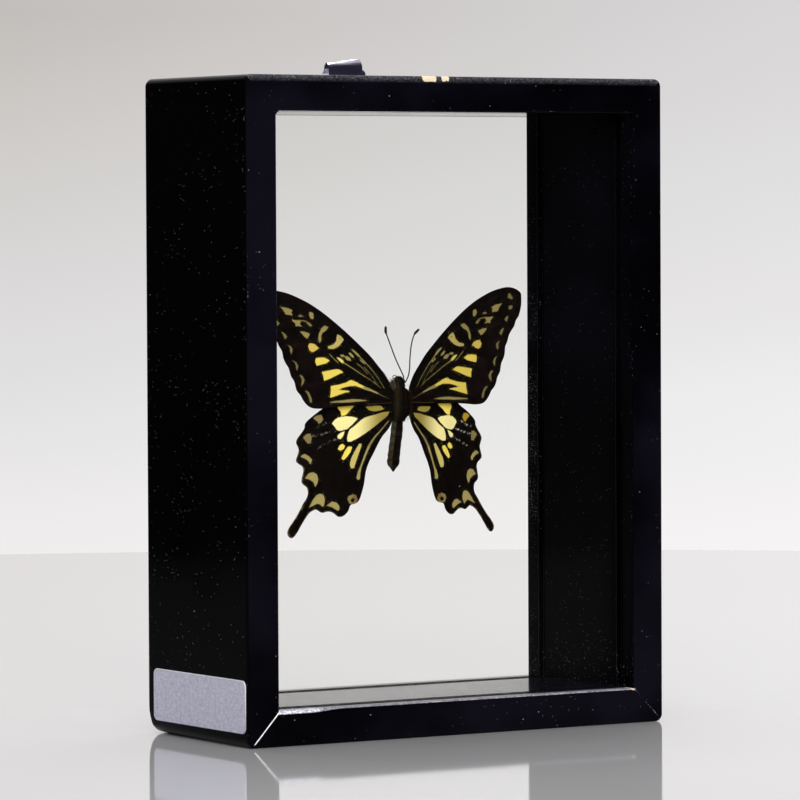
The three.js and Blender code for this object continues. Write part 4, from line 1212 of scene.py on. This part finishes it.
def build_body(fur_finish, eye_finish):
    """Head, thorax and abdomen under hair, with the eyes and the palps."""
    parts = [skin()] + [tinted_ball(*lobe, 12, 18) for lobe in LOBES]
    parts += [hair_patch(*stretch) for stretch in HAIR]
    parts += [shoulder_tufts(SHOULDER_HAIRS), edge_fringe(EDGE_HAIRS)]
    furry = sum(len(faces) for _, faces, _ in parts)
    for side in (-1, 1):
        centre = np.array(EYE["middle"]) + (side * EYE["out"], 0, 0)
        parts.append(tinted_ball(centre, EYE["size"], EYE["colour"], 18, 28))
    points, faces = join_parts([part[:2] for part in parts])
    tints = np.vstack([part[2] for part in parts])
    slots = (np.arange(len(faces)) >= furry).astype(np.int32)
    finishes = [fur_finish, eye_finish]
    as_object("body", points + SPECIMEN, faces, finishes, "body_fur", face_slots=slots, tint=tints)


# ---- Feelers, tongue and legs --------------------------------------------------------------
FEELERS = {
    "left": [
        (-0.4, -3.9, 5.4), (-0.45, -4.6, 6.0), (-0.55, -5.0, 6.9), (-0.8, -5, 8), (-2.7, -3.8, 13),
        (-5.04, -2.6, 20.2), (-5.4, -2.5, 21.3), (-5.3, -2.4, 22.9),
    ],
    "right": [
        (0.1, -3.8, 5.2), (0.4, -4.6, 5.7), (0.75, -5.0, 6.7), (1.3, -5, 7.9), (2, -4.5, 10),
        (2.6, -3.8, 13), (3.55, -3.1, 17), (4.96, -2.6, 20.2), (6.8, -2.4, 21.8),
    ],
}
FEELER = {"shaft": 0.19, "club": 0.22, "club_length": 2.7, "ring": 0.42}
LEGS = {
    "front": [(1.2, 1.85, 3.4), (2.6, 2.7, 4.4), (2.7, 3.4, 1), (2.2, 3.2, -1.8)],
    "middle": [(1.65, 0.85, 0), (3.6, 2.9, 0.6), (3.4, 4, -3), (2.4, 3.8, -6)],
    "hind": [(1.5, 0.65, -2.6), (2.4, 2.6, -3.6), (1.9, 3.2, -5.6), (1.3, 3, -7.4)],
}
LEG_RADIUS, KNEE, SPURS_AT = 0.19, 0.05, (38, 46, 54, 60)  # the spurs sit at those points of the route
TONGUE = {"size": (0.3, 1.25, 0.75), "mid": (-0.2, 0.85, 7.1), "radius": 0.156, "turns": 1.35, "points": 90}


def horn_piece(name, points, faces, finish):
    """A piece of the specimen made of dark horn."""
    as_object(name, points + SPECIMEN, faces, [finish], "dark_chitin")


def build_feelers(finish):
    """Ringed shafts that end in a club."""
    for side, route in FEELERS.items():
        path = spline(route, 34)
        along = np.concatenate([[0], np.cumsum(np.linalg.norm(np.diff(path, axis=0), axis=1))])
        rest = along[-1] - along
        club = smoothstep(FEELER["club_length"] - rest, 0, 1.1) * (1 - 0.55 * smoothstep(0.5 - rest, 0, 0.5))
        ringed = 1 + 0.10 * np.sin(math.tau * along / FEELER["ring"])
        radii = (FEELER["shaft"] + FEELER["club"] * club) * ringed
        horn_piece(f"antenna_{side}", *tube(path, radii, 12), finish)


def build_tongue(finish):
    """A flat coil under the head."""
    share = np.linspace(0, 1, TONGUE["points"])
    angle = math.pi + share * TONGUE["turns"] * math.tau
    shrink = 1 - 0.45 * share
    path = np.stack([share, shrink * np.cos(angle), shrink * np.sin(angle)], 1)
    path = path * TONGUE["size"] + TONGUE["mid"]
    radii = TONGUE["radius"] * (1 - 0.4 * share) * (1 + 0.06 * np.sin(np.arange(TONGUE["points"]) * 1.9))
    horn_piece("proboscis", *tube(path, radii, 12), finish)


def build_legs(finish):
    """Thigh, shin and foot, each swelling at its joints, with small spurs on the shin."""
    for pair, route in LEGS.items():
        for name, side in (("right", 1), ("left", -1)):
            path = spline(np.array(route) * (side, 1, 1), 22)
            share = np.linspace(0, 1, len(path))
            knees = sum(np.exp(-(((share - knee) / 0.02) ** 2)) for knee in (1 / 3, 2 / 3))
            parts = [tube(path, LEG_RADIUS * (1 - 0.55 * share) + KNEE * knees, 12)]
            lean = np.array([0.12 * side, 0.14, -0.16])
            for at in SPURS_AT:
                parts.append(tube([path[at] + lean * k for k in range(3)], [0.05, 0.035, 0.01], 6))
            horn_piece(f"leg_{pair}_{name}", *join_parts(parts), finish)


# ---- Clear post ----------------------------------------------------------------------------
POST = {"radius": 1.25, "foot": 3.6, "foot_height": 1.0, "v": 1.5, "tip": 1.95}


def build_post(finish):
    """Clear rod from the back pane to the thorax, with a moulded foot."""
    reach = PANE_MID - PANE / 2 - CLEARANCE - SPECIMEN[1]
    radius, foot, tip, low = POST["radius"], POST["foot"], POST["tip"], reach - POST["foot_height"]
    profile = [(0, tip), (radius * 0.78, tip), (radius * 0.95, tip + 0.12), (radius, tip + 0.35)]
    for a in (0, *np.linspace(0.3, 1.45, 6)):
        profile.append((radius + 0.9 * (1 - math.cos(a)), low - 1.2 + math.sin(a)))
    profile += [(foot - 0.3, low + 0.05), (foot - 0.06, low + 0.18), (foot, low + 0.4)]
    profile += [(foot, reach - 0.1), (foot - 0.1, reach), (0, reach)]
    points, faces = turned(profile, 64)
    as_object("specimen_post", points + SPECIMEN + (0, 0, POST["v"]), faces, [finish], "clear_post", 50)


# ---- Panes ---------------------------------------------------------------------------------
PANE_SOFT = 0.12  # how far its edges are broken


def build_panes(finish):
    """Float glass with its edges just broken."""
    lost = RAIL - GROOVE_DEPTH + CLEARANCE
    wide, tall = WIDTH / 2 - lost, HEIGHT / 2 - lost
    for name, mid in (("glass_front", -PANE_MID), ("glass_back", PANE_MID)):
        points = []
        for side, inset in ((-1, PANE_SOFT), (PANE_SOFT - 1, 0), (1 - PANE_SOFT, 0), (1, PANE_SOFT)):
            for sx, sz in ((-1, -1), (1, -1), (1, 1), (-1, 1)):
                points.append((sx * (wide - inset), mid + side * PANE / 2, HEIGHT / 2 + sz * (tall - inset)))
        as_object(name, points, bar_faces(4, 4), [finish], "pane_glass", smooth=False)


# ---- Stage ---------------------------------------------------------------------------------
TABLE_RADIUS = 846.0
# The wall behind, as (share of the way up, colour) at its left and its right end.
WALL_LOW, WALL_HIGH, WALL_HALF_WIDTH = -0.065, 0.065, 0.075
WALL_LEFT = [
    (0, (239, 237, 237)), (0.08, (236, 234, 235)), (0.23, (227, 226, 226)), (0.38, (220, 218, 219)),
    (0.53, (212, 210, 208)), (0.68, (204, 200, 197)), (0.81, (194, 190, 187)), (1, (199, 196, 195)),
]
WALL_RIGHT = [
    (0, (246, 244, 244)), (0.08, (243, 241, 242)), (0.23, (238, 238, 238)), (0.38, (231, 229, 230)),
    (0.53, (226, 225, 226)), (0.68, (220, 218, 219)), (0.81, (216, 214, 215)), (1, (210, 208, 209)),
]
MIRRORED = 1.54  # how much brighter the wall is in the gloss of table and frame
MIRRORED_FALL, MIRRORED_TOP = (0.09, 0.15), 0.75  # it fades between these heights to this share
OVERHEAD = 0.9
LIGHTS = [
    # name, place in mm, side in mm, watts, colour
    ("key", (-700, -1250, 900), 800, 17.0, (1.0, 0.985, 0.96)),
    ("front", (150, -1500, 350), 600, 12.0, (1.0, 0.99, 0.97)),
    ("left", (-1300, -300, 700), 700, 5.0, (0.96, 0.98, 1.0)),
    ("overhead", (100, 250, 1500), 1000, 19.0, (1.0, 1.0, 1.0)),
]
SOFT_ONLY = ("key", "front", "left")  # these light the scene, but aren't mirrored in the gloss


def build_table():
    """Round pale glossy table top."""
    f = Finish("table", Roughness=0.06, IOR=1.5)
    f.set(Base_Color=f.mix(f.noise(180.0, 2.0), linear(181, 181, 183), linear(187, 187, 189)))
    points = np.insert(TABLE_RADIUS * circle(256), 2, 0.0, axis=1)
    mesh = bpy.data.meshes.new("table")
    mesh.from_pydata((points * MM).tolist(), [], [list(range(256))])
    mesh.materials.append(f.material)
    table = bpy.data.objects.new("table", mesh)
    bpy.context.scene.collection.objects.link(table)


def wall_colour(n, height, stops):
    """The wall's colour up one side of the view, from (share of the way up, colour) stops."""
    made = n.node("ShaderNodeValToRGB", {0: height})
    elements = made.color_ramp.elements
    elements.remove(elements[1])
    for at, colour in stops:
        element = elements[0] if at == 0 else elements.new(at)
        element.color = linear(*colour)
    return made.outputs[0]


def build_world():
    """Pale studio wall for the eye; what the gloss sees is bright behind the table and overhead."""
    world = bpy.data.worlds.new("studio")
    world.use_nodes = True
    bpy.context.scene.world = world
    n = Nodes(world.node_tree)
    way = n.node("ShaderNodeTexCoord").outputs["Generated"]
    up = n.axes(way)[2]
    az = math.radians(CAMERA["azimuth"])
    right, ahead = (math.cos(az), math.sin(az), 0.0), (-math.sin(az), math.cos(az), 0.0)
    sideways, forwards = (
        n.node("ShaderNodeVectorMath", {0: way, 1: line}, operation="DOT_PRODUCT").outputs["Value"]
        for line in (right, ahead)
    )
    height = n.ramp(up, WALL_LOW, WALL_HIGH, kind="LINEAR")
    share = n.ramp(sideways, -WALL_HALF_WIDTH, WALL_HALF_WIDTH, kind="LINEAR")
    wall = n.mix(share, wall_colour(n, height, WALL_LEFT), wall_colour(n, height, WALL_RIGHT))
    fall = n.ramp(up, *MIRRORED_FALL, 1.0, MIRRORED_TOP, kind="LINEAR")
    behind = n.times(n.ramp(forwards, 0.62, 0.9, 0.03, MIRRORED), fall, n.ramp(up, -0.01, 0.01, 0.55, 1.0))
    path = n.node("ShaderNodeLightPath").outputs
    overhead = n.times(n.ramp(up, 0.25, 0.5, 0.0, OVERHEAD), path["Is Glossy Ray"])
    seen = n.math("LESS_THAN", n.plus(path["Glossy Depth"], path["Diffuse Depth"]), 0.5)
    strength = n.node("ShaderNodeMix", {0: seen, 2: n.plus(behind, overhead), 3: 1.0}).outputs[0]
    background = n.tree.nodes["Background"]
    n.put(background.inputs["Color"], wall)
    n.put(background.inputs["Strength"], strength)


def build_lights():
    """Large soft squares that all aim at the frame's middle."""
    for name, spot, side, watts, colour in LIGHTS:
        lamp = bpy.data.lights.new(name, "AREA")
        lamp.shape = "SQUARE"
        lamp.size = side * MM
        lamp.energy = watts
        lamp.color = colour
        light = bpy.data.objects.new(name, lamp)
        place = Vector(spot) * MM
        aim = Vector((0, 0, 0.1)) - place
        light.visible_glossy = light.visible_transmission = name not in SOFT_ONLY
        light.matrix_world = Matrix.Translation(place) @ aim.to_track_quat("-Z", "Y").to_matrix().to_4x4()
        bpy.context.scene.collection.objects.link(light)


# ---- Build ---------------------------------------------------------------------------------
place_camera()
build_table()
build_world()
build_lights()
build_frame(lacquer())
build_panes(glass("pane_glass", (0.989, 0.992, 0.985, 1.0)))
build_plate(foil())
build_strip(steel("hanger_steel", linear(196, 196, 214), linear(222, 222, 240), 0.14))
build_screws(steel("screw_steel", linear(160, 158, 156), linear(190, 188, 186), 0.3))
build_wings(wing_scales())
horn = chitin("dark_chitin", linear(14, 12, 12), linear(30, 26, 24))
build_body(fur(), chitin("eye", linear(16, 10, 8), linear(34, 22, 16), 0.12))
build_feelers(horn)
build_tongue(horn)
build_legs(horn)
build_post(glass("clear_post", (0.97, 0.98, 0.98, 1.0), 0.02, 0.02))
bpy.context.scene.view_settings.view_transform = "Standard"
